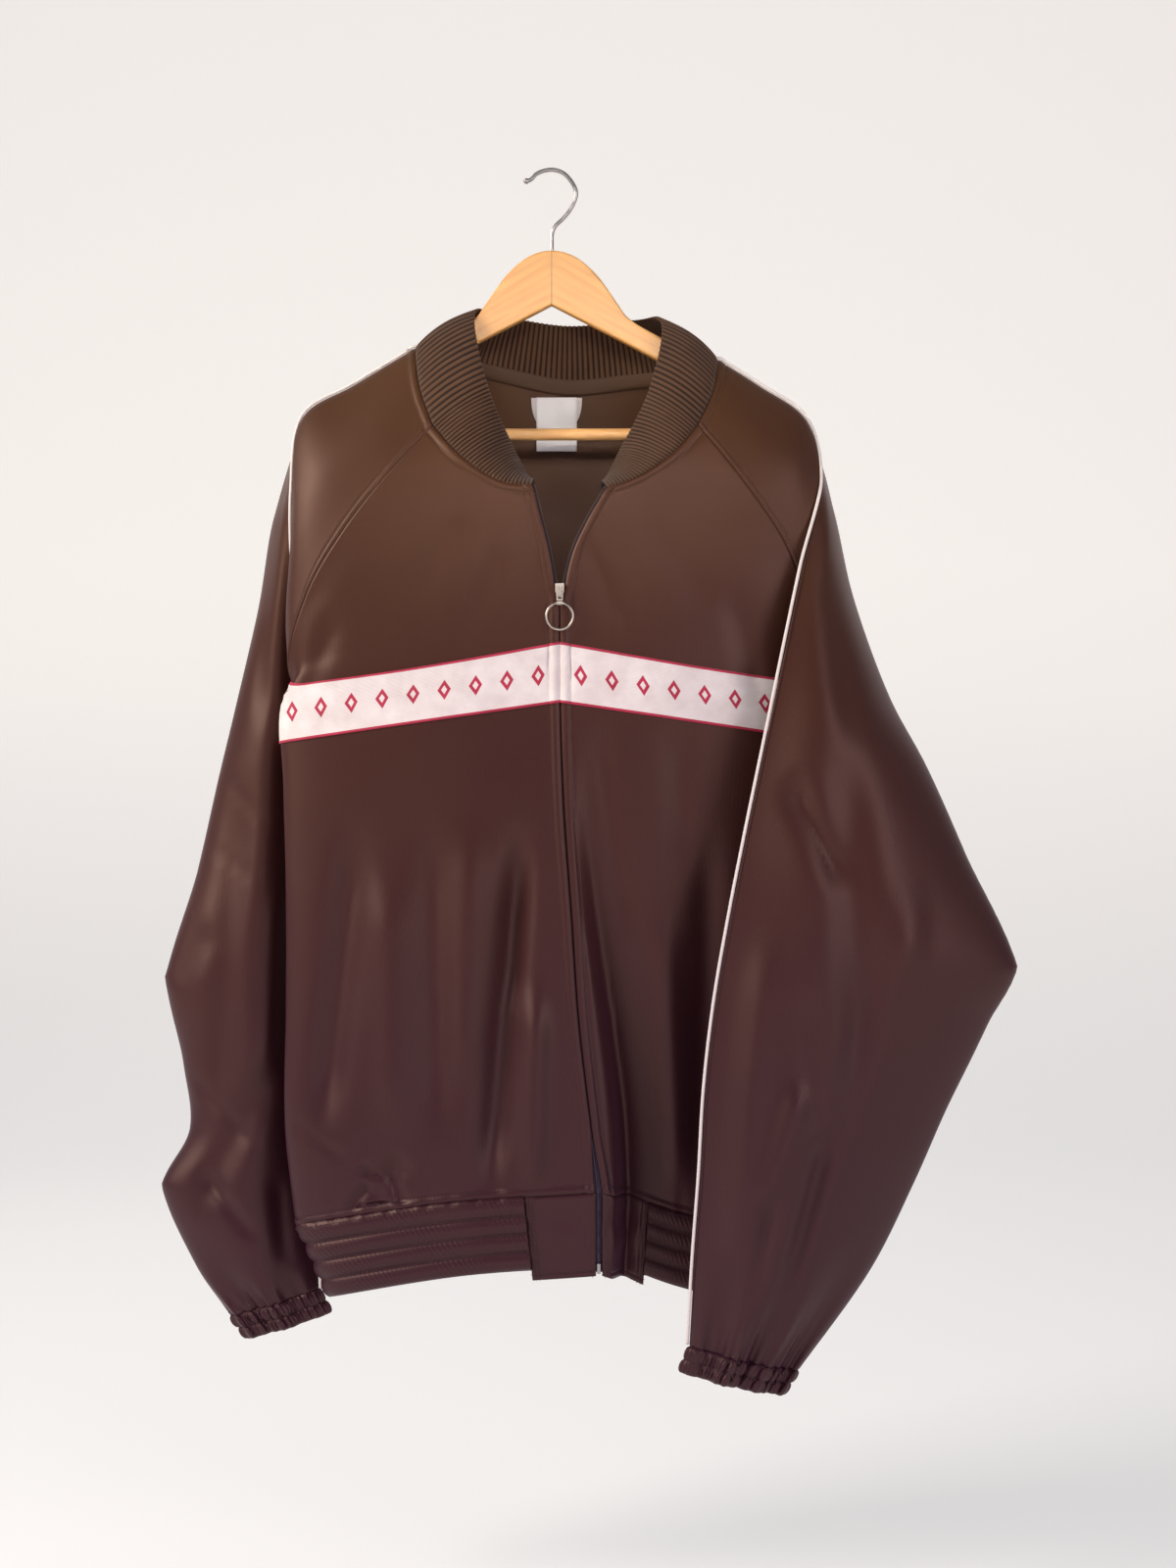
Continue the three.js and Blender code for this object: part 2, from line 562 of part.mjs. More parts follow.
// A closed wall between an outer and an inner net of points, which may have different counts.
function wallMesh(outer, inner, outward, ring = false) {
  const positions = [];
  const triangles = [];
  const push = (net) => net.map((row) => row.map((p) => positions.push(p.x, p.y, p.z) / 3 - 1));
  const outerIds = push(outer);
  const innerIds = push(inner);
  const face = (a, b, c) => triangles.push(...(outward > 0 ? [a, b, c] : [a, c, b]));
  const skin = (ids, flip) => {
    for (let r = 0; r + 1 < ids.length; r++) {
      const columns = ids[r].length;
      for (let c = 0; c + (ring ? 0 : 1) < columns; c++) {
        const d = (c + 1) % columns;
        const [a, b, e, f] = [ids[r][c], ids[r][d], ids[r + 1][c], ids[r + 1][d]];
        if (flip) {
          face(a, e, b);
          face(b, e, f);
        } else {
          face(a, b, e);
          face(b, f, e);
        }
      }
    }
  };
  const bridge = (a, b) => {
    let i = 0;
    let j = 0;
    while (i < a.length - 1 || j < b.length - 1) {
      const nextA = i < a.length - 1 ? (i + 1) / (a.length - 1) : Infinity;
      const nextB = j < b.length - 1 ? (j + 1) / (b.length - 1) : Infinity;
      if (nextA <= nextB) {
        face(a[i + 1], a[i], b[j]);
        i++;
      } else {
        face(a[i], b[j], b[j + 1]);
        j++;
      }
    }
  };
  skin(outerIds, false);
  skin(innerIds, true);
  const closed = (row) => (ring ? [...row, row[0]] : row);
  const firstColumn = (ids) => ids.map((row) => row[0]).reverse();
  const lastColumn = (ids) => ids.map((row) => row[row.length - 1]);
  bridge(closed(outerIds[0]), closed(innerIds[0]));
  bridge(closed(outerIds.at(-1)).slice().reverse(), closed(innerIds.at(-1)).slice().reverse());
  if (!ring) {
    bridge(firstColumn(outerIds), firstColumn(innerIds));
    bridge(lastColumn(outerIds), lastColumn(innerIds));
  }
  const geometry = new THREE.BufferGeometry();
  geometry.setAttribute("position", new THREE.Float32BufferAttribute(positions, 3));
  geometry.setIndex(triangles);
  geometry.computeVertexNormals();
  return geometry;
}

const moved = (points, directions, distance) =>
  points.map((row, r) => row.map((p, c) => p.clone().addScaledVector(directions[r][c], distance)));

// Splits each column strip of a net into count strips, on straight lines.
function refine(net, count, ring = false) {
  return net.map((row) => {
    const out = [];
    const strips = ring ? row.length : row.length - 1;
    for (let c = 0; c < strips; c++) {
      for (let k = 0; k < count; k++) out.push(mix(row[c], row[(c + 1) % row.length], k / count));
    }
    if (!ring) out.push(row[strips].clone());
    return out;
  });
}

// Neckline, hem and cuff rings from the panels' own end rows
const firstRow = (grid) => grid[0];
const lastRow = (grid) => grid[grid.length - 1];
const reversed = (row) => row.slice().reverse();
const joinRows = (...rows) => rows.reduce((all, row) => [...all, ...row.slice(all.length ? 1 : 0)], []);

const neckline = joinRows(
  lastRow(frontRight),
  reversed(firstRow(sleeveRight.front)),
  firstRow(sleeveRight.back),
  lastRow(back.grid),
  reversed(firstRow(sleeveLeft.back)),
  firstRow(sleeveLeft.front),
  reversed(lastRow(frontLeft)),
);

const neckCounts = [
  0,
  FRONT_COLUMNS / 2,
  FRONT_COLUMNS / 2,
  SLEEVE_FRONT_COLUMNS,
  SLEEVE_BACK_COLUMNS,
  BACK_COLUMNS / 2,
  BACK_COLUMNS / 2,
  SLEEVE_BACK_COLUMNS,
  SLEEVE_FRONT_COLUMNS,
  FRONT_COLUMNS / 2,
  FRONT_COLUMNS / 2,
];

function collarGrid() {
  const top = curve(COLLAR_TOP.map(vec));
  const edge = [];
  neckCounts.slice(1).forEach((count, i) => {
    for (let k = 0; k < count; k++) edge.push(top.getPoint((i + k / count) / (COLLAR_TOP.length - 1)));
  });
  edge.push(top.getPoint(1));
  const outwardOf = (a, b, next) => b.clone().sub(a).cross(next).normalize();
  return [0, 0.5, 1].map((t) =>
    neckline.map((p, c) => {
      const next = neckline[Math.min(c + 1, neckline.length - 1)].clone();
      next.sub(neckline[Math.max(c - 1, 0)]);
      const out = outwardOf(p, edge[c], next);
      return mix(p, edge[c], t).addScaledVector(out, COLLAR_BULGE * 4 * t * (1 - t));
    }),
  );
}

const hemSeam = joinRows(
  firstRow(frontRight).slice(TAB_COLUMNS),
  firstRow(back.grid),
  reversed(firstRow(frontLeft).slice(TAB_COLUMNS)),
);

function hemPoint(top, share) {
  const [acrossPull, depthPull] = HEM_PULL;
  return vec([
    HEM_MIDDLE + (top.x - HEM_MIDDLE) * THREE.MathUtils.lerp(1, acrossPull, share),
    top.y * THREE.MathUtils.lerp(1, depthPull, share),
    top.z - HEM_DROP * share,
  ]);
}

const hemRows = HEM_CHANNELS * 2;
const hemGrid = Array.from({ length: hemRows + 1 }, (_, r) => hemSeam.map((p) => hemPoint(p, r / hemRows)));

function tabGrid(panel) {
  const top = firstRow(panel).slice(0, TAB_COLUMNS + 1);
  return [0, 0.5, 1, TAB_LENGTH].map((t) => top.map((p) => hemPoint(p, t)));
}

function cuffGrid(sleeve) {
  const ringTop = [...lastRow(sleeve.back), ...reversed(lastRow(sleeve.front)).slice(1, -1)];
  const tail = sleeve.stations.length - 3;
  const centre = ringTop.reduce((sum, p) => sum.add(p), new THREE.Vector3()).divideScalar(ringTop.length);
  const above = sleeve.back[tail].reduce((sum, p) => sum.add(p), new THREE.Vector3());
  above.divideScalar(sleeve.back[tail].length);
  const down = centre.clone().sub(above).normalize();
  down.y *= CUFF_LEAN;
  down.normalize();
  return [0, 0.5, 1].map((t) =>
    ringTop.map((p) => mix(p, centre, CUFF_PULL * t).addScaledVector(down, CUFF_DROP * t)),
  );
}

const cloth = {
  front_right: addPatch("front_right", frontRight, -1),
  front_left: addPatch("front_left", frontLeft, 1),
  back_panel: addPatch("back_panel", back.grid, -1),
  sleeve_right_front: addPatch("sleeve_right_front", sleeveRight.front, -1),
  sleeve_right_back: addPatch("sleeve_right_back", sleeveRight.back, 1),
  sleeve_left_front: addPatch("sleeve_left_front", sleeveLeft.front, 1),
  sleeve_left_back: addPatch("sleeve_left_back", sleeveLeft.back, -1),
};
const collar = addPatch("collar_rib", collarGrid(), -1);
const hemBand = addPatch("hem_band", hemGrid, 1);
const tabRight = addPatch("hem_tab_right", tabGrid(frontRight), 1);
const tabLeft = addPatch("hem_tab_left", tabGrid(frontLeft), -1);
const cuffRight = addPatch("cuff_right", cuffGrid(sleeveRight), 1, true);
const cuffLeft = addPatch("cuff_left", cuffGrid(sleeveLeft), -1, true);
settleNormals();

// Materials
const finish = (color, roughness, metalness = 0) =>
  new THREE.MeshStandardMaterial({ color, roughness, metalness, side: THREE.FrontSide });
const jersey = () => finish("#4f3430", 0.55);
const rib = () => finish("#5c4432", 0.8);
const white = () => finish("#e8dcd6", 0.7);
const metal = () => finish("#b9b4ac", 0.3, 1);
const beech = () => finish("#e6b27a", 0.45);

const root = new THREE.Group();
function add(name, geometry, material) {
  const mesh = new THREE.Mesh(geometry, material);
  mesh.name = name;
  root.add(mesh);
}

for (const [name, patch] of Object.entries(cloth)) {
  const piece = trimmed(patch);
  add(name, wallMesh(piece.points, moved(piece.points, piece.insides, CLOTH), piece.outward), jersey());
}

function addCollar() {
  const piece = trimmed(collar);
  const ends = [0, piece.points.length - 1];
  const inner = moved(ends.map((r) => piece.points[r]), ends.map((r) => piece.insides[r]), RIB_KNIT);
  const fine = refine(piece.points, RIBS_PER_STRIP * 2);
  const fineNormals = refine(piece.normals, RIBS_PER_STRIP * 2);
  const outer = fine.map((row, r) =>
    row.map((p, c) => p.addScaledVector(fineNormals[r][c], r > 0 && c % 2 ? RIB_HEIGHT : 0)),
  );
  add("collar_rib", wallMesh(outer, inner, piece.outward), rib());
}

function addHemBand() {
  const piece = trimmed(hemBand);
  const ends = [0, hemRows];
  const inner = moved(ends.map((r) => piece.points[r]), ends.map((r) => piece.insides[r]), HEM_WALL);
  const fine = refine(piece.points, 2);
  const fineNormals = refine(piece.normals, 2);
  const outer = fine.map((row, r) =>
    row.map((p, c) => {
      const puff = r % 2 ? HEM_PUFF + (c % 2 ? HEM_GATHER : -HEM_GATHER) : 0;
      return p.addScaledVector(fineNormals[r][c], puff);
    }),
  );
  add("hem_band", wallMesh(outer, inner, piece.outward), jersey());
}

function addTab(patch) {
  const piece = trimmed(patch);
  const inner = moved(piece.points, piece.insides, HEM_WALL);
  add(patch.name, wallMesh(piece.points, inner, piece.outward), jersey());
}

function addCuff(patch) {
  const piece = trimmed(patch);
  const inner = moved(piece.points, piece.insides, CUFF_WALL);
  const fine = refine(piece.points, 2, true);
  const fineNormals = refine(piece.normals, 2, true);
  const outer = fine.map((row, r) =>
    row.map((p, c) => {
      const puff = r === 1 ? CUFF_PUFF + (c % 2 ? CUFF_GATHER : 0) : 0;
      return p.addScaledVector(fineNormals[r][c], puff);
    }),
  );
  add(patch.name, wallMesh(outer, inner, piece.outward, true), jersey());
}

// A solid cord of the given number of sides through points, its first side towards the normals.
function cordMesh(points, normals, radius, sides) {
  const positions = [];
  const triangles = [];
  points.forEach((p, i) => {
    const tangent = points[Math.min(i + 1, points.length - 1)].clone().sub(points[Math.max(i - 1, 0)]);
    const up = normals[i].clone().projectOnPlane(tangent.normalize()).normalize();
    const side = tangent.clone().cross(up);
    for (let k = 0; k < sides; k++) {
      const angle = (2 * Math.PI * k) / sides;
      const q = p.clone().addScaledVector(up, radius * Math.cos(angle));
      q.addScaledVector(side, radius * Math.sin(angle));
      positions.push(q.x, q.y, q.z);
    }
  });
  for (let i = 0; i + 1 < points.length; i++) {
    for (let k = 0; k < sides; k++) {
      const [a, b] = [i * sides + k, i * sides + ((k + 1) % sides)];
      triangles.push(a, b, a + sides, b, b + sides, a + sides);
    }
  }
  const end = (points.length - 1) * sides;
  for (let k = 1; k + 1 < sides; k++) triangles.push(0, k + 1, k, end, end + k, end + k + 1);
  const geometry = new THREE.BufferGeometry();
  geometry.setAttribute("position", new THREE.Float32BufferAttribute(positions, 3));
  geometry.setIndex(triangles);
  geometry.computeVertexNormals();
  return geometry;
}

// Piping on the overarm seam, which stands further out where the two halves meet in a hollow.
function addPiping(name, backHalf, frontHalf) {
  const normals = backHalf.normals.map((row) => row[0]);
  const points = backHalf.points.map((row, r) => {
    const sides = [backHalf, frontHalf].map((half) => half.points[r][1].clone().sub(row[0]).normalize());
    const hollow = sides[0].add(sides[1]).dot(normals[r]) > 0;
    const reach = hollow ? PIPING_HOLLOW * backHalf.insides[r][0].length() : 1;
    return row[0].clone().addScaledVector(normals[r], (PIPING_RADIUS + SEAM_GAP) * reach);
  });
  add(name, cordMesh(points.slice(0, -1), normals.slice(0, -1), PIPING_RADIUS, PIPING_SIDES), white());
}

// The point and normal on a column of a panel's net at a height, on its facets.
function onColumn(patch, c, z) {
  for (let r = 0; r + 1 < patch.points.length; r++) {
    const [low, high] = [patch.points[r][c], patch.points[r + 1][c]];
    if ((low.z - z) * (high.z - z) > 0) continue;
    const t = (z - low.z) / (high.z - low.z);
    const normal = mix(patch.normals[r][c], patch.normals[r + 1][c], t).normalize();
    return { point: mix(low, high, t), normal };
  }
  throw new Error("no such height on the panel");
}

function addChestTape(name, patch, zipX) {
  const outer = [];
  const inner = [];
  for (let r = 0; r <= CHEST_ROWS; r++) {
    outer.push([]);
    inner.push([]);
    for (let c = 0; c <= CHEST_COLUMNS; c++) {
      const away = Math.abs(patch.points[SIDE_STATIONS * BODY_STEPS][c].x - zipX);
      const top = CHEST_TOP - CHEST_SLOPE * away;
      const { point, normal } = onColumn(patch, c, top - (r / CHEST_ROWS) * CHEST_HEIGHT);
      if (c === 0) point.x += Math.sign(patch.points[0][1].x - patch.points[0][0].x) * SEAM_GAP;
      const lift = CHEST_LIFT + CHEST_SIDE_LIFT * smooth((c - CHEST_COLUMNS) / 4 + 1);
      inner[r].push(point.clone().addScaledVector(normal, lift));
      outer[r].push(point.clone().addScaledVector(normal, lift + TRIM_WALL));
    }
  }
  add(name, wallMesh(outer, inner, -patch.outward), white());
}

// A zip tape behind a panel's folded edge, with the chain's bead beside the middle line.
function addZipTape(name, panel, tab) {
  const across = [-ZIP_TAPE_WIDTH, ...ZIP_BEAD_START, ZIP_HALF_GAP - ZIP_CHAIN_GAP];
  const bead = [0, 0, ZIP_BEAD, ZIP_BEAD];
  const behind = [ZIP_TAPE_SLACK, 0, 0, 0];
  const edge = panel.points.slice(1).map((row, i) => [row[0], row[1], panel.normals[i + 1][0]]);
  const low = [2, 1, 0].map((r) => [tab.points[r][0], tab.points[r][1], tab.normals[r][0]]);
  const rows = [...low, ...edge];
  const netAt = (depthOf) =>
    rows.map(([p, next, normal]) => {
      const away = p.clone().sub(next).normalize();
      return across.map((d, k) => p.clone().addScaledVector(away, d).addScaledVector(normal, -depthOf(k)));
    });
  const outer = netAt((k) => HEM_WALL + ZIP_LIFT + behind[k] - bead[k]);
  const inner = netAt((k) => HEM_WALL + ZIP_LIFT + behind[k] + TRIM_WALL);
  add(name, wallMesh(outer, inner, -panel.outward), finish("#3a2f3a", 0.6));
}

addCollar();
addHemBand();
addTab(tabRight);
addTab(tabLeft);
addCuff(cuffRight);
addCuff(cuffLeft);
addPiping("piping_right", cloth.sleeve_right_back, cloth.sleeve_right_front);
addPiping("piping_left", cloth.sleeve_left_back, cloth.sleeve_left_front);
addChestTape("chest_tape_right", cloth.front_right, ZIP_MIDDLE);
addChestTape("chest_tape_left", cloth.front_left, ZIP_MIDDLE);
addZipTape("zip_tape_right", cloth.front_right, tabRight);
addZipTape("zip_tape_left", cloth.front_left, tabLeft);

// Solids joined or cut with each other
function solidOf(geometry) {
  const plain = geometry.index ? geometry.toNonIndexed() : geometry.clone();
  for (const name of Object.keys(plain.attributes)) if (name !== "position") plain.deleteAttribute(name);
  const merged = mergeVertices(plain, 1e-4);
  const triVerts = new Uint32Array(merged.index.array);
  return new wasm.Manifold(
    new wasm.Mesh({ numProp: 3, vertProperties: merged.attributes.position.array, triVerts }),
  );
}

function geometryOf(solid) {
  const mesh = solid.getMesh();
  const geometry = new THREE.BufferGeometry();
  geometry.setAttribute("position", new THREE.Float32BufferAttribute(mesh.vertProperties, 3));
  geometry.setIndex(Array.from(mesh.triVerts));
  geometry.computeVertexNormals();
  return geometry;
}

const joined = (...parts) => parts.map(solidOf).reduce((all, part) => all.add(part));

const box = (x0, x1, y0, y1, z0, z1) =>
  new THREE.BoxGeometry(x1 - x0, y1 - y0, z1 - z0).translate((x0 + x1) / 2, (y0 + y1) / 2, (z0 + z1) / 2);

// Hanger
const WOOD_EDGE = table("x z", [
  [13, -69],
  [25, -76],
  [40, -94],
  [52, -109],
]);
const WOOD_TIP = table("x z", [
  [201, -205],
  [206, -213],
  [208, -221],
  [204, -232],
  [193, -238],
  [181, -234],
  [174, -220],
  [165, -204],
  [88, -160],
  [30, -127],
  [12, -116],
]);

function woodOutline() {
  const side = (sign, slope) => {
    const end = WOOD_SHOULDER_Z - slope * (WOOD_ARM_X - WOOD_SHOULDER_X);
    const arm = [{ x: WOOD_SHOULDER_X, z: WOOD_SHOULDER_Z }, { x: WOOD_ARM_X, z: end }];
    return [...WOOD_EDGE, ...arm, ...WOOD_TIP].map(({ x, z }) => new THREE.Vector2(sign * x, z));
  };
  const leftSide = side(1, WOOD_SLOPES.left);
  const rightSide = side(-1, WOOD_SLOPES.right).reverse();
  const [top, apex] = [WOOD_TOP, WOOD_APEX].map((z) => new THREE.Vector2(0, z));
  return new THREE.Shape([top, ...leftSide, apex, ...rightSide]);
}

function addHanger() {
  const wood = new THREE.ExtrudeGeometry(woodOutline(), {
    depth: 2 * (WOOD_HALF - WOOD_ROUNDING),
    bevelEnabled: true,
    bevelThickness: WOOD_ROUNDING,
    bevelSize: WOOD_ROUNDING,
    bevelOffset: -WOOD_ROUNDING,
    bevelSegments: 2,
  });
  wood.rotateX(Math.PI / 2).translate(0, WOOD_HALF - WOOD_ROUNDING, 0);
  const along = (radius, from, to) => {
    const bar = new THREE.CylinderGeometry(radius, radius, to - from, 14);
    return bar.rotateZ(Math.PI / 2).translate((from + to) / 2, 0, BAR_Z);
  };
  const stem = WIRE_RADIUS + SEAM_GAP;
  const stemHole = solidOf(
    new THREE.CylinderGeometry(stem, stem, STEM_HOLE, 12).rotateX(Math.PI / 2).translate(0, 0, WOOD_TOP),
  );
  const right = solidOf(along(BAR_RADIUS + SEAM_GAP, BAR_HALF - BAR_SOCKET, BAR_HALF + SEAM_GAP));
  const left = solidOf(along(BAR_RADIUS + SEAM_GAP, -BAR_HALF - SEAM_GAP, -BAR_HALF + BAR_SOCKET));
  add("hanger_wood", geometryOf(solidOf(wood).subtract(right).subtract(left).subtract(stemHole)), beech());
  add("hanger_bar", along(BAR_RADIUS, -BAR_HALF, BAR_HALF), beech());

  const path = curve(HOOK_PATH.map(([x, z]) => vec([x, 0, z])));
  const circle = new THREE.Shape().absarc(0, 0, WIRE_RADIUS, 0, 2 * Math.PI);
  const wire = new THREE.ExtrudeGeometry(circle, { steps: 22, extrudePath: path, curveSegments: 4 });
  const [tipX, tipZ] = HOOK_PATH[0];
  const ball = new THREE.SphereGeometry(WIRE_RADIUS * 1.5, 8, 6).translate(tipX, 0, tipZ);
  add("hanger_hook", geometryOf(joined(wire, ball)), metal());
}
addHanger();

// Slider, pull link, ring and the zip's end box
function addZipHardware() {
  const [x, y, z] = LINK_PIVOT;
  const blocks = SLIDER_BLOCKS.map(({ half, y0, y1, z0, z1 }) =>
    box(x - half, x + half, y + y0, y + y1, z + z0, z + z1),
  );
  add("zip_slider", geometryOf(joined(...blocks)), metal());

  const [top, foot] = LINK_ENDS;
  const outline = new THREE.Shape();
  outline.moveTo(-LINK_HALF, top).lineTo(-LINK_HALF, foot);
  outline.lineTo(LINK_HALF, foot).lineTo(LINK_HALF, top).closePath();
  const slot = new THREE.Path();
  slot.moveTo(-LINK_SLOT.half, LINK_SLOT.top).lineTo(LINK_SLOT.half, LINK_SLOT.top);
  slot.lineTo(LINK_SLOT.half, LINK_SLOT.foot).lineTo(-LINK_SLOT.half, LINK_SLOT.foot).closePath();
  outline.holes.push(slot);
  const strap = new THREE.ExtrudeGeometry(outline, { depth: LINK_THICK, bevelEnabled: false });
  strap.rotateX(Math.PI / 2).translate(x, y + LINK_THICK / 2, z);
  const knuckleShape = new THREE.Shape().absarc(0, 0, KNUCKLE_RADIUS, 0, 2 * Math.PI);
  const eye = new THREE.Path().absarc(0, 0, RING_WIRE + RING_PLAY, 0, 2 * Math.PI, true);
  knuckleShape.holes.push(eye);
  const rolled = { depth: KNUCKLE_LENGTH, bevelEnabled: false, curveSegments: 8 };
  const knuckle = new THREE.ExtrudeGeometry(knuckleShape, rolled);
  knuckle.rotateY(Math.PI / 2).translate(x - KNUCKLE_LENGTH / 2, y, z - LINK_LENGTH);
  add("zip_pull_link", geometryOf(joined(strap, knuckle)), metal());

  const ring = new THREE.TorusGeometry(RING_RADIUS, RING_WIRE, 6, 24);
  ring.rotateX(Math.PI / 2).translate(x, y, z - LINK_LENGTH - RING_RADIUS);
  add("zip_pull_ring", ring, metal());

  const end = tabRight.points.at(-1)[0].clone().add(tabLeft.points.at(-1)[0]).multiplyScalar(0.5);
  const { x0, x1, y0, y1, z0, z1 } = END_BOX;
  const block = box(x0, x1, y0, y1, z0, z1).translate(end.x, end.y, end.z);
  add("zip_end_box", block, metal());
}
addZipHardware();

// Inside the back neck: tape, loop and label, from the back panel's own points
function backPoint(x, z) {
  let station = BODY_LAST - 1;
  let s = 0.5;
  for (let i = 0; i < 30; i++) {
    const p = back.surface(station, s);
    s = THREE.MathUtils.clamp(s + (x - p.x) / 260, 0, 1);
    station = THREE.MathUtils.clamp(station + (z - p.z) / 60, 0, BODY_LAST);
  }
  return back.surface(station, s);
}

function addInsideNet(name, places, lift, material) {
  const near = places.map((row) => row.map(([x, z]) => backPoint(x, z).add(vec([0, -lift, 0]))));
  const far = near.map((row) => row.map((p) => p.clone().add(vec([0, -TRIM_WALL, 0]))));
  add(name, wallMesh(far, near, 1), material);
}

function addNeckFinish() {
  const top = (c) => back.grid.at(-1)[c];
  const places = [TAPE_HEIGHT, 0].map((drop) =>
    Array.from({ length: BACK_COLUMNS - 3 }, (_, i) => [top(i + 2).x, top(i + 2).z - drop - 1.5]),
  );
  addInsideNet("neck_tape", places, NECK_LIFT, rib());

  const [left, right] = LABEL_X;
  const columns = [0, 0.25, 0.5, 0.75, 1];
  const label = [1, 0.66, 0.33, 0].map((t) =>
    columns.map((u) => [left + (right - left) * u, LABEL_TOP - LABEL_HEIGHT * t]),
  );
  addInsideNet("neck_label", label, NECK_LIFT + TRIM_WALL + SEAM_GAP, finish("#ccc5be", 0.5));

  const middle = (left + right) / 2;
  const loop = [];
  for (let i = 0; i <= LOOP_STEPS; i++) {
    const angle = Math.PI * (i / LOOP_STEPS);
    const reach = [LOOP_HALF - LOOP_WIDTH, LOOP_HALF].map((r) => [
      middle - r * Math.cos(angle),
      LABEL_TOP - LOOP_DROP * (r / LOOP_HALF) * Math.sin(angle) ** 0.8,
    ]);
    loop.push(reach);
  }
  addInsideNet("hang_loop", loop, NECK_LIFT, white());
}
addNeckFinish();

export default root;
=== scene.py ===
import math

import bmesh
import bpy
import numpy as np
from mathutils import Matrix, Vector


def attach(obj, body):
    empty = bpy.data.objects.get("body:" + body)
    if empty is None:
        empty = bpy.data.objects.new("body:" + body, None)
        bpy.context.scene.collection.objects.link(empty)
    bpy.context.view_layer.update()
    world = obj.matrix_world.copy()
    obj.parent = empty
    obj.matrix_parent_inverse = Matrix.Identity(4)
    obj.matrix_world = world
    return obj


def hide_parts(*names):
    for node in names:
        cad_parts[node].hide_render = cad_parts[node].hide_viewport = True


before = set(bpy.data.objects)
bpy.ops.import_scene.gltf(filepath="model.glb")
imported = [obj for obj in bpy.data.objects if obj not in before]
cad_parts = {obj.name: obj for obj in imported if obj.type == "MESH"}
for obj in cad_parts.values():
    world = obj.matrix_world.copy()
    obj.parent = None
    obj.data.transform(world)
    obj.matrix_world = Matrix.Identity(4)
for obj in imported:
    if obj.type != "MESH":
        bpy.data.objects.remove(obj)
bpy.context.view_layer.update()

mm = 0.001  # tables and sizes below are in millimetres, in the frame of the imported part
tau = 2 * math.pi


def placed(name, data):
    made = bpy.data.objects.new(name, data)
    bpy.context.collection.objects.link(made)
    return made


# camera
view = {
    "eye": (30.7, -2100, -518),  # straight in front of the middle of the photograph
    "height": 1328,  # what the photograph's long side shows in the hanger's plane
    "sensor": 36,
}
camera = placed("camera", bpy.data.cameras.new("camera"))
camera.data.sensor_width = view["sensor"]
camera.data.lens = view["sensor"] * -view["eye"][1] / view["height"]
camera.location = [v * mm for v in view["eye"]]
camera.rotation_euler = (math.pi / 2, 0, 0)
bpy.context.scene.camera = camera

# curves and lofts


def table(columns, rows):
    return dict(zip(columns.split(), np.array(rows, float).T))


def column(rows, prefix):
    return np.stack([rows[prefix + axis] for axis in "xyz"], axis=1)


def smoothStep(t):
    t = np.clip(t, 0, 1)
    return t * t * (3 - 2 * t)


def smoothCurve(points, t):  # centripetal, through every point, evenly by point number
    points = np.asarray(points, float)
    ends = np.vstack([2 * points[0] - points[1], points, 2 * points[-1] - points[-2]])
    place = np.clip(np.asarray(t, float), 0, 1) * (len(points) - 1)
    i = np.minimum(place.astype(int), len(points) - 2)
    w = (place - i)[..., None]
    p0, p1, p2, p3 = (ends[i + k] for k in range(4))
    d0, d1, d2 = (
        np.maximum(np.linalg.norm(b - a, axis=-1, keepdims=True) ** 0.5, 0.01)
        for a, b in ((p0, p1), (p1, p2), (p2, p3))
    )
    m1 = ((p1 - p0) / d0 - (p2 - p0) / (d0 + d1) + (p2 - p1) / d1) * d1
    m2 = ((p2 - p1) / d1 - (p3 - p1) / (d1 + d2) + (p3 - p2) / d2) * d1
    return p1 + m1 * w + (3 * (p2 - p1) - 2 * m1 - m2) * w**2 + (2 * (p1 - p2) + m1 + m2) * w**3


def curveOf(points):
    return lambda t: smoothCurve(points, t)


def joinedCurve(first, second):  # second starts at the last point of first
    split = len(first) - 1
    last = split + len(second) - 1

    def rail(t):
        station = t * last
        if station <= split:
            return smoothCurve(first, station / split)
        return smoothCurve(second, (station - split) / (last - split))

    return rail


def lengthAlong(points):
    return np.concatenate([[0], np.cumsum(np.linalg.norm(np.diff(points, axis=0), axis=1))])


def pointsAt(place, run, points):  # points of a line at some places of its run
    return np.stack([np.interp(place, run, points[:, k]) for k in range(3)], axis=-1)


def unit(vectors):
    return vectors / np.linalg.norm(vectors, axis=-1, keepdims=True)


fineSteps = np.linspace(0, 1, 201)


def evenly(points, shares):  # points at shares of the length of the curve through a few points
    fine = smoothCurve(points, fineSteps)
    run = lengthAlong(fine)
    return smoothCurve(points, np.interp(np.asarray(shares) * run[-1], run, fineSteps))


def loft(rails, last, stations, shares):
    return np.array([evenly([rail(k / last) for rail in rails], shares) for k in stations])


def foldDepth(folds, x, z):
    total = np.zeros_like(x)
    for x0, z0, x1, z1, w, d in folds:
        length = math.hypot(x1 - x0, z1 - z0)
        ux, uz = (x1 - x0) / length, (z1 - z0) / length
        t = ((x - x0) * ux + (z - z0) * uz) / length
        across = ((x - x0) * uz - (z - z0) * ux) / w
        total += d * np.exp(-across**2) * smoothStep(t / 0.3 + 0.3) * smoothStep((1 - t) / 0.3 + 0.3)
    return total


def gridNormals(grid, outward):
    across = np.gradient(grid, axis=1)
    along = np.gradient(grid, axis=0)
    normals = np.cross(across, along) * outward
    return normals / np.maximum(np.linalg.norm(normals, axis=2, keepdims=True), 1e-9)


def runs(grid, axis):  # distance in millimetres from the grid's first row or column
    steps = np.linalg.norm(np.diff(grid, axis=axis), axis=2)
    start = np.zeros_like(np.take(steps, [0], axis=axis))
    return np.cumsum(np.concatenate([start, steps], axis=axis), axis=axis)


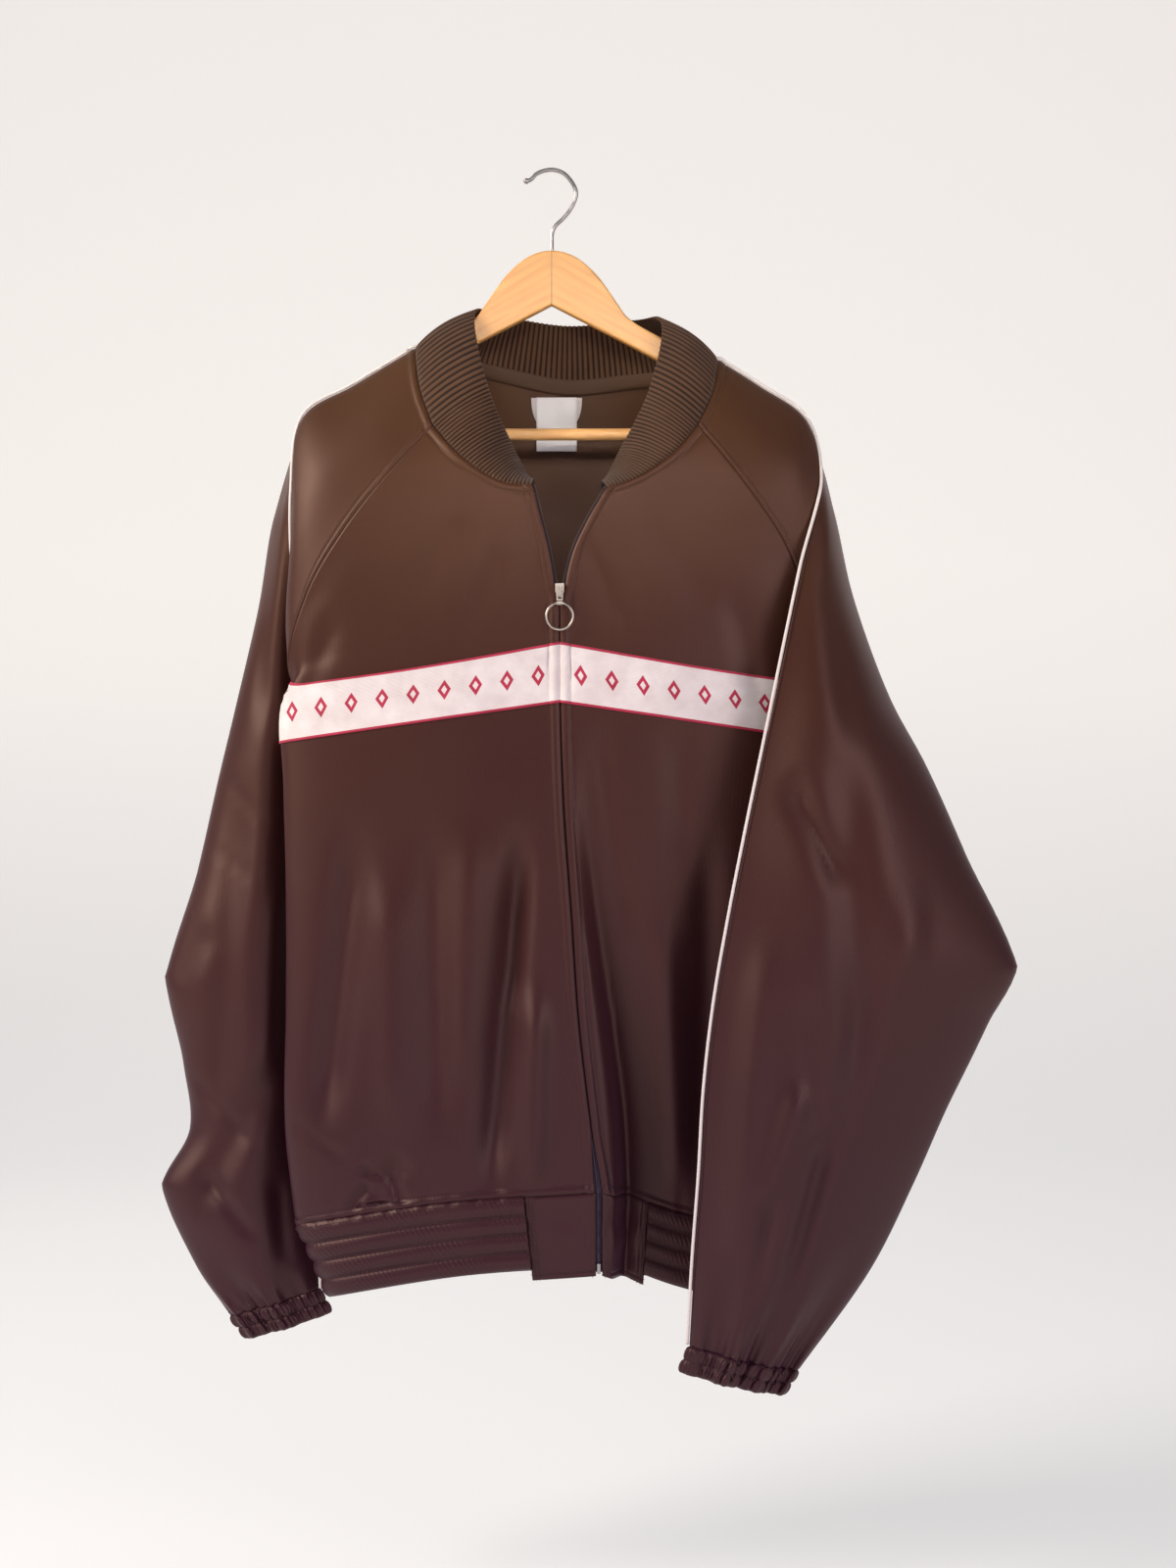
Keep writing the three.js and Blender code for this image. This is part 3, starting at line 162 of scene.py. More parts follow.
def closeTo(count, edge, length):  # even shares with extra ones by both edges
    extra = np.array([0.7, 1.6, 2.6, 3.6, 4.6, 5.6, 6.8, 8.2, 10]) * edge / length
    shares = [np.linspace(0, 1, count + 1), extra, 1 - extra]
    return np.unique(np.round(np.concatenate(shares), 5))


# the jacket's sections
shoulderColumns = "ox oy oz rx ry rz bx by bz fx fy fz ax ay puff rear"
shoulders = {
    "right": table(shoulderColumns, [
        (-115, -2, -148.4, -98, -44, -220, -62, 36, -157, -93, 25, -151, -4, -5, 0, 0),
        (-168, -3, -180.6, -134, -53, -260, -100, 50, -215, -144, 36, -193, -5, -8, 0, 5),
        (-209, -6, -206, -172, -55, -309, -140, 54, -280, -213, 22, -240, -8, -9, 2, 9),
        (-217, -24, -272, -203, -50, -362, -172, 50, -345, -237, 20, -292, -3, -4, 5, 16),
        (-216, -14, -350, -219, -34, -425, -192, 38, -412, -252, 22, -372, -4, 3, 16, 22),
        (-210, 8, -440, -188, 22, -472, -188, 22, -472, -271, 24, -452, 2, -6, 26, 34),
    ]),
    "left": table(shoulderColumns, [
        (140, -2, -158, 122, -43, -219, 88, 36, -165, 118, 25, -160, 4, -5, 0, 0),
        (176, -3, -181, 146, -49, -249, 124, 50, -220, 160, 36, -198, 5, -8, 0, 5),
        (214, -8, -209, 172, -50, -284, 160, 54, -283, 222, 20, -240, 8, -9, 2, 9),
        (225, -28, -264, 198, -44, -325, 190, 50, -345, 240, 10, -292, 4, -2, 8, 16),
        (207, -56, -340, 220, -30, -388, 216, 38, -412, 256, 0, -362, 3, 0, 24, 22),
        (190, -75, -415, 216, 24, -470, 216, 24, -470, 284, -18, -446, 44, -10, 30, 16),
    ]),
}
armColumns = "ox oy oz fx fy fz ex ey ez ax ay puff rear"
arms = {
    "right": table(armColumns, [
        (-208, 15, -515, -285, 26, -508, -196, 64, -530, 8, 2, 30, 40),
        (-207, 18, -590, -304, 26, -592, -212, 94, -600, 10, 2, 34, 34),
        (-206, 19, -665, -328, 24, -684, -228, 102, -680, 10, 2, 36, 32),
        (-205, 18, -740, -315, 20, -757, -234, 98, -755, 10, 2, 32, 30),
        (-204, 16, -812, -309, 18, -812, -238, 90, -820, 10, 2, 30, 28),
        (-202, 13, -875, -329, 14, -860, -244, 78, -880, 8, 2, 28, 24),
        (-199, 8, -920, -304, 10, -925, -250, 60, -930, 4, 2, 22, 16),
        (-197, 4, -946, -273, 8, -970, -241, 40, -962, 3, 2, 14, 8),
    ]),
    "left": table(armColumns, [
        (176, -83, -480, 312, -36, -502, 254, 20, -520, 14, -16, 34, 14),
        (160, -90, -555, 343, -48, -575, 294, 10, -592, 0, -14, 38, 12),
        (146, -94, -625, 380, -57, -669, 336, -16, -662, 0, -8, 38, 8),
        (134, -93, -695, 358, -60, -718, 334, -30, -735, 0, -4, 36, 6),
        (126, -91, -765, 325, -62, -785, 308, -38, -800, 0, -2, 34, 5),
        (122, -88, -835, 298, -64, -845, 284, -42, -860, 0, 0, 32, 4),
        (117, -82, -905, 262, -66, -916, 250, -45, -926, 0, 0, 28, 4),
        (113, -72, -978, 203, -62, -1000, 192, -44, -996, 0, 4, 16, 3),
    ]),
}
frontColumns = "zx zy zz mx my mz ex ey ez"
fronts = {
    "right": table(frontColumns, [
        (37, -67, -854, -88, -66, -863, -212, -36, -886),
        (30, -67, -797, -92, -66, -799, -221, -38, -802),
        (20, -66, -712, -98, -65, -706, -220, -38, -700),
        (14, -65, -625, -102, -64, -617, -220, -38, -606),
        (8, -63, -538, -106, -63, -530, -222, -38, -520),
        (5, -61, -452, -108, -62, -450, -223, -38, -450),
        (4.5, -61, -408, -100, -62, -410, -202, -49, -415),
        (4.5, -61, -365, -84, -62, -364, -172, -57, -358),
        (-1, -62, -328, -68, -61, -320, -138, -58, -311),
        (-8, -62, -300, -58, -60.5, -288, -106, -56, -270),
        (-15, -62, -272, -42, -61, -268, -74, -56, -247),
    ]),
    "left": table(frontColumns, [
        (43, -66, -854, 112, -36, -878, 218, -18, -900),
        (36, -66, -797, 112, -38, -808, 220, -18, -815),
        (26, -65, -712, 108, -43, -717, 221, -18, -722),
        (20, -64, -625, 106, -48, -628, 222, -18, -632),
        (13.5, -62, -538, 105, -53, -540, 222, -19, -542),
        (11, -61, -452, 105, -56, -455, 222, -22, -458),
        (10.5, -61, -408, 104, -57, -410, 204, -38, -396),
        (10.5, -61, -365, 92, -58, -358, 166, -51, -348),
        (18, -61.5, -328, 84, -58, -316, 142, -52, -303),
        (31, -62, -300, 78, -58, -286, 118, -52, -270),
        (46, -61, -274, 73, -59, -264, 102, -53, -243),
    ]),
}
sideSeams = {  # hem to underarm
    "right": [
        (-190, 16, -890), (-190, 18, -806), (-189, 20, -722),
        (-188, 21, -638), (-188, 22, -555), (-188, 22, -472),
    ],
    "left": [
        (196, 24, -893), (197, 24, -808), (198, 24, -723),
        (200, 24, -639), (206, 24, -555), (216, 24, -470),
    ],
}
backMiddle = table("y z bulge", [
    (58, -880, 16), (60, -800, 16), (62, -716, 16), (63, -632, 16), (64, -548, 16), (64, -466, 16),
    (63, -402, 9), (61, -338, 5), (58, -275, 3), (54, -222, 3), (46, -171, 3),
])
collarTop = np.array([
    (-15, -15, -268), (-33, -27, -234), (-53, -33, -188), (-65, -4, -118.5), (-46, 25, -117),
    (13, 38, -124), (74, 25, -121), (93, -4, -126), (82, -33, -190), (57, -27, -240), (42, -15, -268),
], float)

# soft folds and creases in the front view: x0, z0, x1, z1, half width, depth
folds = {
    "frontRight": [
        (-160, -560, -188, -800, 14, 10), (-134, -600, -128, -800, 16, -6), (-98, -560, -92, -800, 13, 6),
        (-26, -570, -50, -850, 12, 13), (-11, -690, -14, -845, 10, -7), (-66, -560, -72, -760, 14, -5),
        (-24, -560, -30, -700, 9, 4), (-120, -826, -150, -862, 10, 5),
        (-158, -834, -140, -842, 3.4, 4.8), (-134, -838, -121, -864, 3.8, 5.4),
        (-166, -868, -150, -848, 4, 4.4), (-150, -846, -128, -848, 7, -3.5),
        (-216, -796, -170, -828, 4, 1.6), (-72, -300, -118, -372, 14, 2.2),
        (-40, -330, -70, -400, 10, 1.8), (-178, -380, -205, -450, 10, 2.2),
    ],
    "frontLeft": [
        (92, -620, 104, -850, 12, -5), (130, -560, 128, -850, 14, 5), (84, -300, 130, -370, 14, 2),
        (160, -700, 172, -860, 12, -3), (28, -318, 60, -392, 9, 1.8), (40, -470, 62, -640, 9, 3),
        (150, -360, 172, -450, 11, 2.4), (104, -470, 108, -600, 12, 2.5),
    ],
    "back": [
        (-110, -480, -120, -850, 22, -6), (-40, -330, -58, -850, 24, 5), (70, -340, 84, -850, 24, -5),
        (150, -480, 150, -850, 20, 6), (10, -250, 14, -420, 30, -2), (20, -600, 24, -860, 14, 3),
    ],
    "sleeveRight": [
        (-262, -520, -282, -800, 16, 6), (-290, -640, -320, -690, 12, 3), (-240, -760, -300, -880, 14, 5),
        (-290, -500, -236, -556, 3.4, 0.9), (-300, -566, -236, -606, 3.4, 0.8),
        (-312, -760, -246, -828, 4.5, 1.5),
        (-240, -300, -244, -470, 11, 4), (-230, -600, -240, -760, 11, -5), (-296, -846, -250, -900, 6, 4),
        (-232, -850, -226, -930, 8, 4),
    ],
    "sleeveLeft": [
        (192, -515, 236, -600, 12, 6), (236, -480, 262, -860, 20, 10), (300, -600, 290, -820, 18, -9),
        (170, -640, 150, -900, 16, -6), (197, -514, 232, -590, 3, 3), (226, -800, 192, -930, 10, 9),
        (272, -780, 232, -910, 11, 8), (180, -850, 160, -965, 7, 6), (204, -760, 170, -860, 12, -5),
        (226, -330, 246, -480, 13, 4), (318, -560, 340, -640, 12, 4), (206, -690, 214, -800, 12, 4),
    ],
}
valley = {"startZ": -450, "endZ": -850, "depth": 33, "offset": 21, "spread": 15}

sideStations = 5
bodyLast = 10

# corners that the bent sleeves draw outwards: x, z, how far
elbows = {"right": [(-328, -684, -4), (-329, -860, -4)], "left": [(380, -669, 5)]}
elbowTall, elbowWide = 15, 24


def sleeveHalves(side):
    shoulder, arm = shoulders[side], arms[side]
    overarm = np.vstack([column(shoulder, "o"), column(arm, "o")])
    underarm = column(arm, "e")
    frontEdge = np.vstack([column(shoulder, "r"), underarm])
    backEdge = np.vstack([column(shoulder, "b"), underarm])
    outer = np.vstack([column(shoulder, "f"), column(arm, "f")])
    ax, ay, puff, rear = (
        np.concatenate([shoulder[key], arm[key]])[:, None] for key in ("ax", "ay", "puff", "rear")
    )
    last = len(overarm) - 1
    ridge = np.zeros((last + 1, 1))
    ridge[:3, 0] = [1, 1, 0.8]  # the cloth follows the hanger's arm before it falls
    xAxis, yAxis = np.array([1.0, 0, 0]), np.array([0, 1.0, 0])

    def blend(a, b, t):
        return a + (b - a) * t

    frontNear = blend(overarm, frontEdge, 0.16) + ax * 0.5 * xAxis + ay * 0.5 * yAxis
    frontNear = blend(frontNear, overarm + [0, -7, -5], ridge)
    frontMiddle = blend(overarm, frontEdge, 0.55) + ax * xAxis + ay * yAxis
    backNear = blend(blend(overarm, outer, 0.45) - puff * yAxis, overarm + [0, 12, -2.5], ridge)
    backFar = blend(outer, backEdge, 0.5) + np.sign(overarm[0, 0]) * rear * 0.6 * xAxis + rear * 0.5 * yAxis
    frontSeam = joinedCurve(frontEdge[:6], frontEdge[5:])
    backSeam = joinedCurve(backEdge[:6], backEdge[5:])
    # rows of the net: about one each 6 mm, with extra ones by the neck and by the cuff
    body = np.linspace(0, 5, 48)
    down = np.linspace(5, last, 92)[1:]
    extra = np.array([0.02, 0.05, 0.08, 0.11, 0.15, 0.2, 0.25])
    stations = np.unique(np.round(np.concatenate([body, down, extra, last - extra * 1.3]), 5))
    backShares = closeTo(84, 1, 190)
    frontShares = closeTo(40, 1, 100)
    backRails = [curveOf(points) for points in (overarm, backNear, outer, backFar)] + [backSeam]
    frontRails = [curveOf(points) for points in (overarm, frontNear, frontMiddle)] + [frontSeam]
    back = loft(backRails, last, stations, backShares)
    front = loft(frontRails, last, stations, frontShares)
    near = smoothStep((stations - (last - 1.5)) / 1.5)[:, None]
    s = backShares[None, :]
    inner = smoothStep(s / 0.15) * smoothStep((0.55 - s) / 0.15)
    inner = inner * smoothStep((last - stations) / 1.5)[:, None]
    own = folds["sleeveRight" if side == "right" else "sleeveLeft"]
    back[..., 1] += foldDepth(own, back[..., 0], back[..., 2]) * inner
    back[..., 1] -= 3 * near * np.sin(tau * 4 * s)
    fine = smoothStep((stations - (last - 0.9)) / 0.9)[:, None] ** 2  # the cuff's own small gathers
    back[..., 1] -= fine * 1.9 * np.sin(tau * 13 * s + 1.2 * np.sin(tau * 3 * s)) * np.sin(math.pi * s)
    for x, z, reach in elbows[side]:
        tall = np.exp(-np.abs(back[..., 2] - z) / elbowTall)
        point = tall * np.exp(-(((back[..., 0] - x) / elbowWide) ** 2))
        back[..., 0] += reach * point
    s = frontShares[None, :]
    front[..., 1] += 1.8 * near * np.sin(tau * 3 * s)
    front[..., 1] += fine * 1.1 * np.sin(tau * 7 * s) * np.sin(math.pi * s)
    return {
        "last": last, "stations": stations, "back": back, "front": front,
        "backShares": backShares, "frontShares": frontShares,
        "frontSeam": frontSeam, "backSeam": backSeam,
    }


sleeves = {side: sleeveHalves(side) for side in ("right", "left")}


def outerEdge(side, seam):  # side seam up to the underarm, then the raglan seam backwards
    sideCurve = curveOf(sideSeams[side])
    last = sleeves[side]["last"]

    def rail(t):
        station = t * bodyLast
        if station <= sideStations:
            return sideCurve(station / sideStations)
        return seam((bodyLast - station) / last)

    return rail


def bodyStations():
    lower = np.linspace(0, sideStations, 92)
    upper = np.linspace(sideStations, bodyLast, 64)[1:]
    extra = np.array([0.012, 0.024, 0.036, 0.05, 0.065, 0.085, 0.11])
    return np.unique(np.round(np.concatenate([lower, upper, extra, bodyLast - extra * 2]), 5))


stationsBody = bodyStations()


def puckers(x, z, hemZ):  # small gathers that the elastic hem draws into the panel above it
    up = np.clip((z - hemZ) / 55, 0, 3)
    wave = np.sin(x * tau / 17 + 1.3 * np.sin(x / 23)) + 0.6 * np.sin(x * tau / 9.5 + 2 * np.sin(x / 31))
    return wave * np.exp(-up * 3.2) * 0.4


def frontPanel(side):
    rows = fronts[side]
    rails = [curveOf(column(rows, key)) for key in "zme"]
    rails.append(outerEdge(side, sleeves[side]["frontSeam"]))
    shares = closeTo(84, 1.05, 250)
    grid = loft(rails, bodyLast, stationsBody, shares)
    s = shares[None, :]
    station = stationsBody[:, None]
    x, z = grid[..., 0].copy(), grid[..., 2].copy()
    fade = smoothStep(s / 0.08) * smoothStep((1 - s) / 0.12) * smoothStep((bodyLast - station) / 1.5)
    grid[..., 1] += foldDepth(folds["frontRight" if side == "right" else "frontLeft"], x, z) * fade
    if side == "left":
        down = smoothStep((valley["startZ"] - z) / (valley["startZ"] - valley["endZ"]))
        away = x - 11 - 32 * smoothStep((-520 - z) / 340)
        wall = smoothStep((away - 8) / (valley["offset"] - 8))
        far = np.exp(-np.maximum(0, away - valley["offset"]) / (2 * valley["spread"]))
        grid[..., 1] += valley["depth"] * down * wall * far * smoothStep((1 - s) / 0.2)
    grid[..., 1] += puckers(x, z, z[:1]) * smoothStep((s - 0.18) / 0.08) * smoothStep((1 - s) / 0.05)
    return {"grid": grid, "shares": shares}


def backPanel():
    rightEdge = outerEdge("right", sleeves["right"]["backSeam"])
    leftEdge = outerEdge("left", sleeves["left"]["backSeam"])
    edges = [np.array([edge(k / bodyLast) for k in range(bodyLast + 1)]) for edge in (rightEdge, leftEdge)]
    middle = np.stack([(edges[0][:, 0] + edges[1][:, 0]) / 2, backMiddle["y"], backMiddle["z"]], axis=1)

    def quarter(edge):
        bulge = backMiddle["bulge"][:, None] * np.array([0, 1.0, 0])
        return curveOf(edge + (middle - edge) * 0.3 + bulge)

    rails = [rightEdge, quarter(edges[0]), curveOf(middle), quarter(edges[1]), leftEdge]
    shares = closeTo(110, 1, 420)
    grid = loft(rails, bodyLast, stationsBody, shares)
    s = shares[None, :]
    station = stationsBody[:, None]
    x, z = grid[..., 0].copy(), grid[..., 2].copy()
    fade = smoothStep(s / 0.12) * smoothStep((1 - s) / 0.12) * smoothStep((bodyLast - station) / 2)
    grid[..., 1] -= foldDepth(folds["back"], x, z) * fade
    grid[..., 1] -= puckers(x, z, z[:1]) * smoothStep(s / 0.05) * smoothStep((1 - s) / 0.05)
    return {"grid": grid, "shares": shares}


panels = {"right": frontPanel("right"), "left": frontPanel("left"), "back": backPanel()}
print("sections lofted")

# seams pressed into the cloth


def pressSeams(grid, outward, start=None, end=None, bottom=None, top=None):
    # each edge takes a list of (distance from the edge, depth, half width), in millimetres
    normals = gridNormals(grid, outward)
    across, along = runs(grid, 1), runs(grid, 0)
    depth = np.zeros(grid.shape[:2])
    for lines, distance in (
        (start, across), (end, across[:, -1:] - across), (bottom, along), (top, along[-1:] - along),
    ):
        for place, deep, half in lines or ():
            depth += deep * np.exp(-(((distance - place) / half) ** 2))
    return grid - normals * depth[..., None]


seamLine = [(0, 0.8, 1.0)]
twinSeam = [(0, 0.8, 1.1), (2.6, -0.2, 1.6), (5.2, 0.3, 0.8)]
necklineSeam = [(0, 0.9, 1.2), (4, -0.6, 2.5), (8, 0.8, 0.9)]
hemSeamLine = [(0, 1.2, 1.4), (3.6, -0.7, 2.0), (7.6, 0.8, 0.9)]
zipEdge = [(0, 0.7, 1.0), (4.4, -1.0, 2.8), (8.6, 0.9, 0.9)]
topstitch = {
    "zip": 8.6, "neckline": 8, "hem": 7.6, "overarm": (5.2, 1.2), "pitch": 2.9, "size": (0.55, 0.5, 2.3),
}

zipSizes = {
    "tapeWide": 9, "wall": 0.8, "behind": 2.3, "chain": 0.75, "openReach": 1.7,
    "toothPitch": 1.5, "toothSize": (1.5, 1.1, 0.85),
    "sliderZ": -359.5, "closed": 0.35, "opensAt": (-800, -850), "drawn": 16,
}


def closeZip():  # the folded edges all but meet from the slider down to the coil that shows at the hem
    grids = [panels[side]["grid"] for side in ("right", "left")]
    middle = (grids[0][:, 0, 0] + grids[1][:, 0, 0]) / 2
    for grid in grids:
        z = grid[:, 0, 2]
        gap = grid[:, 0, 0] - middle
        below = smoothStep((zipSizes["sliderZ"] + 4 - z) / 10)
        top, low = zipSizes["opensAt"]
        share = below * (1 - smoothStep((top - z) / (top - low)))
        move = -gap * share * (1 - zipSizes["closed"] / np.abs(gap))
        near = 1 - smoothStep((runs(grid, 1) - 3) / zipSizes["drawn"])
        grid[..., 0] += move[:, None] * near


closeZip()

# materials


def linear(value):  # from 0..255 as the eye sees it
    share = value / 255
    return share / 12.92 if value <= 10 else ((share + 0.055) / 1.055) ** 2.4


def paint(r, g, b):
    return linear(r), linear(g), linear(b), 1


class Finish:
    def __init__(self, name, **sockets):
        self.material = bpy.data.materials.new(name)
        self.material.use_nodes = True
        self.tree = self.material.node_tree
        self.shader = self.tree.nodes["Principled BSDF"]
        for key, value in sockets.items():
            self.shader.inputs[key.replace("_", " ")].default_value = value

    def node(self, kind, values=(), **settings):
        made = self.tree.nodes.new(kind)
        for key, value in settings.items():
            setattr(made, key, value)
        for key, value in dict(values).items():
            made.inputs[key].default_value = value
        return made

    def link(self, source, target):
        self.tree.links.new(source, target)

    def math(self, operation, a, b=None, c=None):
        made = self.node("ShaderNodeMath", operation=operation)
        for i, value in enumerate((a, b, c)):
            if value is None:
                continue
            if isinstance(value, (int, float)):
                made.inputs[i].default_value = value
            else:
                self.link(value, made.inputs[i])
        return made.outputs[0]

    def coordinates(self, which):
        return self.node("ShaderNodeTexCoord").outputs[which]

    def parts(self, vector):
        made = self.node("ShaderNodeSeparateXYZ")
        self.link(vector, made.inputs[0])
        return made.outputs

    def noise(self, vector, scale, detail=3, roughness=0.5):
        made = self.node("ShaderNodeTexNoise", {"Scale": scale, "Detail": detail, "Roughness": roughness})
        self.link(vector, made.inputs["Vector"])
        return made.outputs[0]

    def scaled(self, vector, scale):
        made = self.node("ShaderNodeMapping", {"Scale": scale})
        self.link(vector, made.inputs["Vector"])
        return made.outputs[0]

    def ramp(self, factor, stops):
        made = self.node("ShaderNodeValToRGB")
        ramp = made.color_ramp
        ramp.elements[0].position, ramp.elements[0].color = stops[0]
        ramp.elements[1].position, ramp.elements[1].color = stops[-1]
        for position, color in stops[1:-1]:
            ramp.elements.new(position).color = color
        self.link(factor, made.inputs[0])
        return made.outputs[0]

    def mix(self, factor, a, b):
        made = self.node("ShaderNodeMix", data_type="RGBA")
        for socket, value in ((made.inputs[0], factor), (made.inputs[6], a), (made.inputs[7], b)):
            if isinstance(value, (int, float, tuple)):
                socket.default_value = value
            else:
                self.link(value, socket)
        return made.outputs[2]

    def bump(self, height, distance, strength=1.0):
        made = self.node("ShaderNodeBump", {"Distance": distance, "Strength": strength})
        self.link(height, made.inputs["Height"])
        self.link(made.outputs[0], self.shader.inputs["Normal"])

    def color(self, source):
        self.link(source, self.shader.inputs["Base Color"])

    def rough(self, source):
        self.link(source, self.shader.inputs["Roughness"])


def knittedWithPaintedShade(name, tones, pitch, fuzz, roughness, **sockets):
    # tones run over the height, the first at the hem and the last at the shoulders; they paint shade, darker
    # and more purple towards the hem and lighter and warmer towards the shoulders, standing in for how the
    # light falls; pitch is one wale across and one course along
    finish = Finish(name, Roughness=roughness, **sockets)
    place = finish.coordinates("Object")
    high = finish.parts(place)[2]
    # painted shade by height: the colour is darker and more purple low down and lighter and warmer high up
    share = finish.math("MULTIPLY_ADD", high, 1.12, 1.12)
    cloud = finish.noise(place, 5, 2)
    share = finish.math("ADD", share, finish.math("MULTIPLY_ADD", cloud, 0.3, -0.15))
    tone = finish.ramp(share, [(i / (len(tones) - 1), paint(*t)) for i, t in enumerate(tones)])
    speck = finish.noise(place, 1400, 2)
    lighter = paint(*(min(255, c * 1.35) for c in tones[1]))
    tone = finish.mix(finish.math("MULTIPLY", speck, 0.22), tone, lighter)
    finish.color(tone)
    u, v, _ = finish.parts(finish.coordinates("UV"))
    wale = finish.math("SINE", finish.math("MULTIPLY", u, tau / (pitch[0] * mm)))
    course = finish.math("SINE", finish.math("MULTIPLY", v, tau / (pitch[1] * mm)))
    loops = finish.math("MULTIPLY_ADD", wale, 0.35, finish.math("MULTIPLY", course, 0.15))
    finish.bump(finish.math("ADD", loops, finish.math("MULTIPLY", speck, 0.8)), fuzz * mm)
    finish.rough(finish.math("MULTIPLY_ADD", cloud, 0.12, roughness - 0.06))
    return finish.material


# painted shade for these knits: each list of tones runs from a darker, more purple tone at the hem to a
# lighter, warmer one at the shoulders
jersey = knittedWithPaintedShade(
    "smoothJersey", [(44, 19, 33), (52, 23, 28), (62, 32, 20), (75, 49, 19)], (1.1, 1.3), 0.05, 0.43,
    Sheen_Weight=0.1, Sheen_Roughness=0.4, Sheen_Tint=paint(180, 122, 176), Specular_IOR_Level=0.46,
    Specular_Tint=paint(255, 214, 196),
)
stitchThread = knittedWithPaintedShade(
    "sewingThread", [(64, 42, 50), (70, 44, 44), (86, 58, 42), (112, 80, 50)], (0.3, 0.3), 0.02, 0.5,
    Specular_IOR_Level=0.4,
)
whiteTape = knittedWithPaintedShade(
    "whitePipingTape", [(222, 206, 202), (226, 212, 208), (230, 216, 208), (232, 220, 206)],
    (0.8, 0.8), 0.05, 0.65, Sheen_Weight=0.1,
)


def ribFinish(name, light, paintedGrooveShade, pitch):  # u counts the ribs
    finish = Finish(name, Roughness=0.85, Sheen_Weight=0.12, Sheen_Roughness=0.5, Specular_IOR_Level=0.2)
    u, v, _ = finish.parts(finish.coordinates("UV"))
    wave = finish.math("COSINE", finish.math("MULTIPLY", u, tau / (pitch * mm)))
    share = finish.math("MULTIPLY_ADD", wave, -0.5, 0.5)
    cloud = finish.noise(finish.coordinates("Object"), 30, 3)
    share = finish.math("ADD", share, finish.math("MULTIPLY_ADD", cloud, 0.5, -0.25))
    # painted shade in the rib grooves, a much darker tone of the same yarn, and a painted highlight on the
    # rib crests, a tone lighter than the knit
    paintedCrestHighlight = paint(*(c * 1.12 for c in light))
    finish.color(finish.ramp(share, [(0.1, paint(*paintedGrooveShade)), (0.5, paint(*light)), (0.95, paintedCrestHighlight)]))
    course = finish.math("SINE", finish.math("MULTIPLY", v, tau / (1.1 * mm)))
    fuzz = finish.math("MULTIPLY", finish.noise(finish.coordinates("Object"), 1500, 2), 0.8)
    finish.bump(finish.math("ADD", course, fuzz), 0.05 * mm)
    return finish.material


def chestTapeFinish():  # wide white tape, crimson selvedges, a row of small crimson lozenges
    finish = Finish("lozengeTape", Roughness=0.6, Sheen_Weight=0.1)
    u, v, _ = finish.parts(finish.coordinates("UV"))
    pitch, first, halfWide, halfTall, edge = 26, 6, 5.6, 9, 2.2
    halfTape = 25
    across = finish.math("ABSOLUTE", finish.math("SUBTRACT", v, halfTape * mm))
    shifted = finish.math("DIVIDE", finish.math("SUBTRACT", u, first * mm), pitch * mm)
    along = finish.math("ABSOLUTE", finish.math("SUBTRACT", finish.math("FRACT", shifted), 0.5))
    reachAlong = finish.math("MULTIPLY", along, pitch / halfWide)
    reach = finish.math("ADD", reachAlong, finish.math("DIVIDE", across, halfTall * mm))
    lozenge = finish.math("LESS_THAN", reach, 1.0)
    hollow = finish.math("GREATER_THAN", reach, 0.45)
    border = finish.math("GREATER_THAN", across, (halfTape - edge) * mm)
    mark = finish.math("MAXIMUM", finish.math("MULTIPLY", lozenge, hollow), border)
    place = finish.coordinates("Object")
    cloud = finish.noise(place, 60, 3)
    ground = finish.ramp(cloud, [(0.3, paint(226, 210, 206)), (0.7, paint(242, 230, 226))])
    crimson = finish.ramp(cloud, [(0.3, paint(172, 22, 58)), (0.7, paint(196, 34, 72))])
    finish.color(finish.mix(mark, ground, crimson))
    cord = finish.math("SINE", finish.math("MULTIPLY", v, tau / (1.25 * mm)))
    pick = finish.math("SINE", finish.math("MULTIPLY", u, tau / (0.9 * mm)))
    finish.bump(finish.math("ADD", cord, finish.math("MULTIPLY", pick, 0.4)), 0.08 * mm)
    return finish.material


def woodFinish(name, grainAlong):
    finish = Finish(name, Roughness=0.42, Coat_Weight=0.15, Coat_Roughness=0.3)
    place = finish.coordinates("Object")
    grain = finish.noise(finish.scaled(place, grainAlong), 9, 4, 0.6)
    fleck = finish.noise(finish.scaled(place, tuple(3 * g for g in grainAlong)), 60, 2, 0.7)
    tones = [(0.3, paint(218, 156, 90)), (0.55, paint(236, 180, 110)), (0.75, paint(242, 192, 124))]
    tone = finish.ramp(grain, tones)
    dark = finish.math("MULTIPLY", finish.math("GREATER_THAN", fleck, 0.62), 0.28)
    finish.color(finish.mix(dark, tone, paint(196, 138, 80)))
    finish.bump(fleck, 0.06 * mm, 0.6)
    finish.rough(finish.math("MULTIPLY_ADD", grain, 0.2, 0.32))
    return finish.material


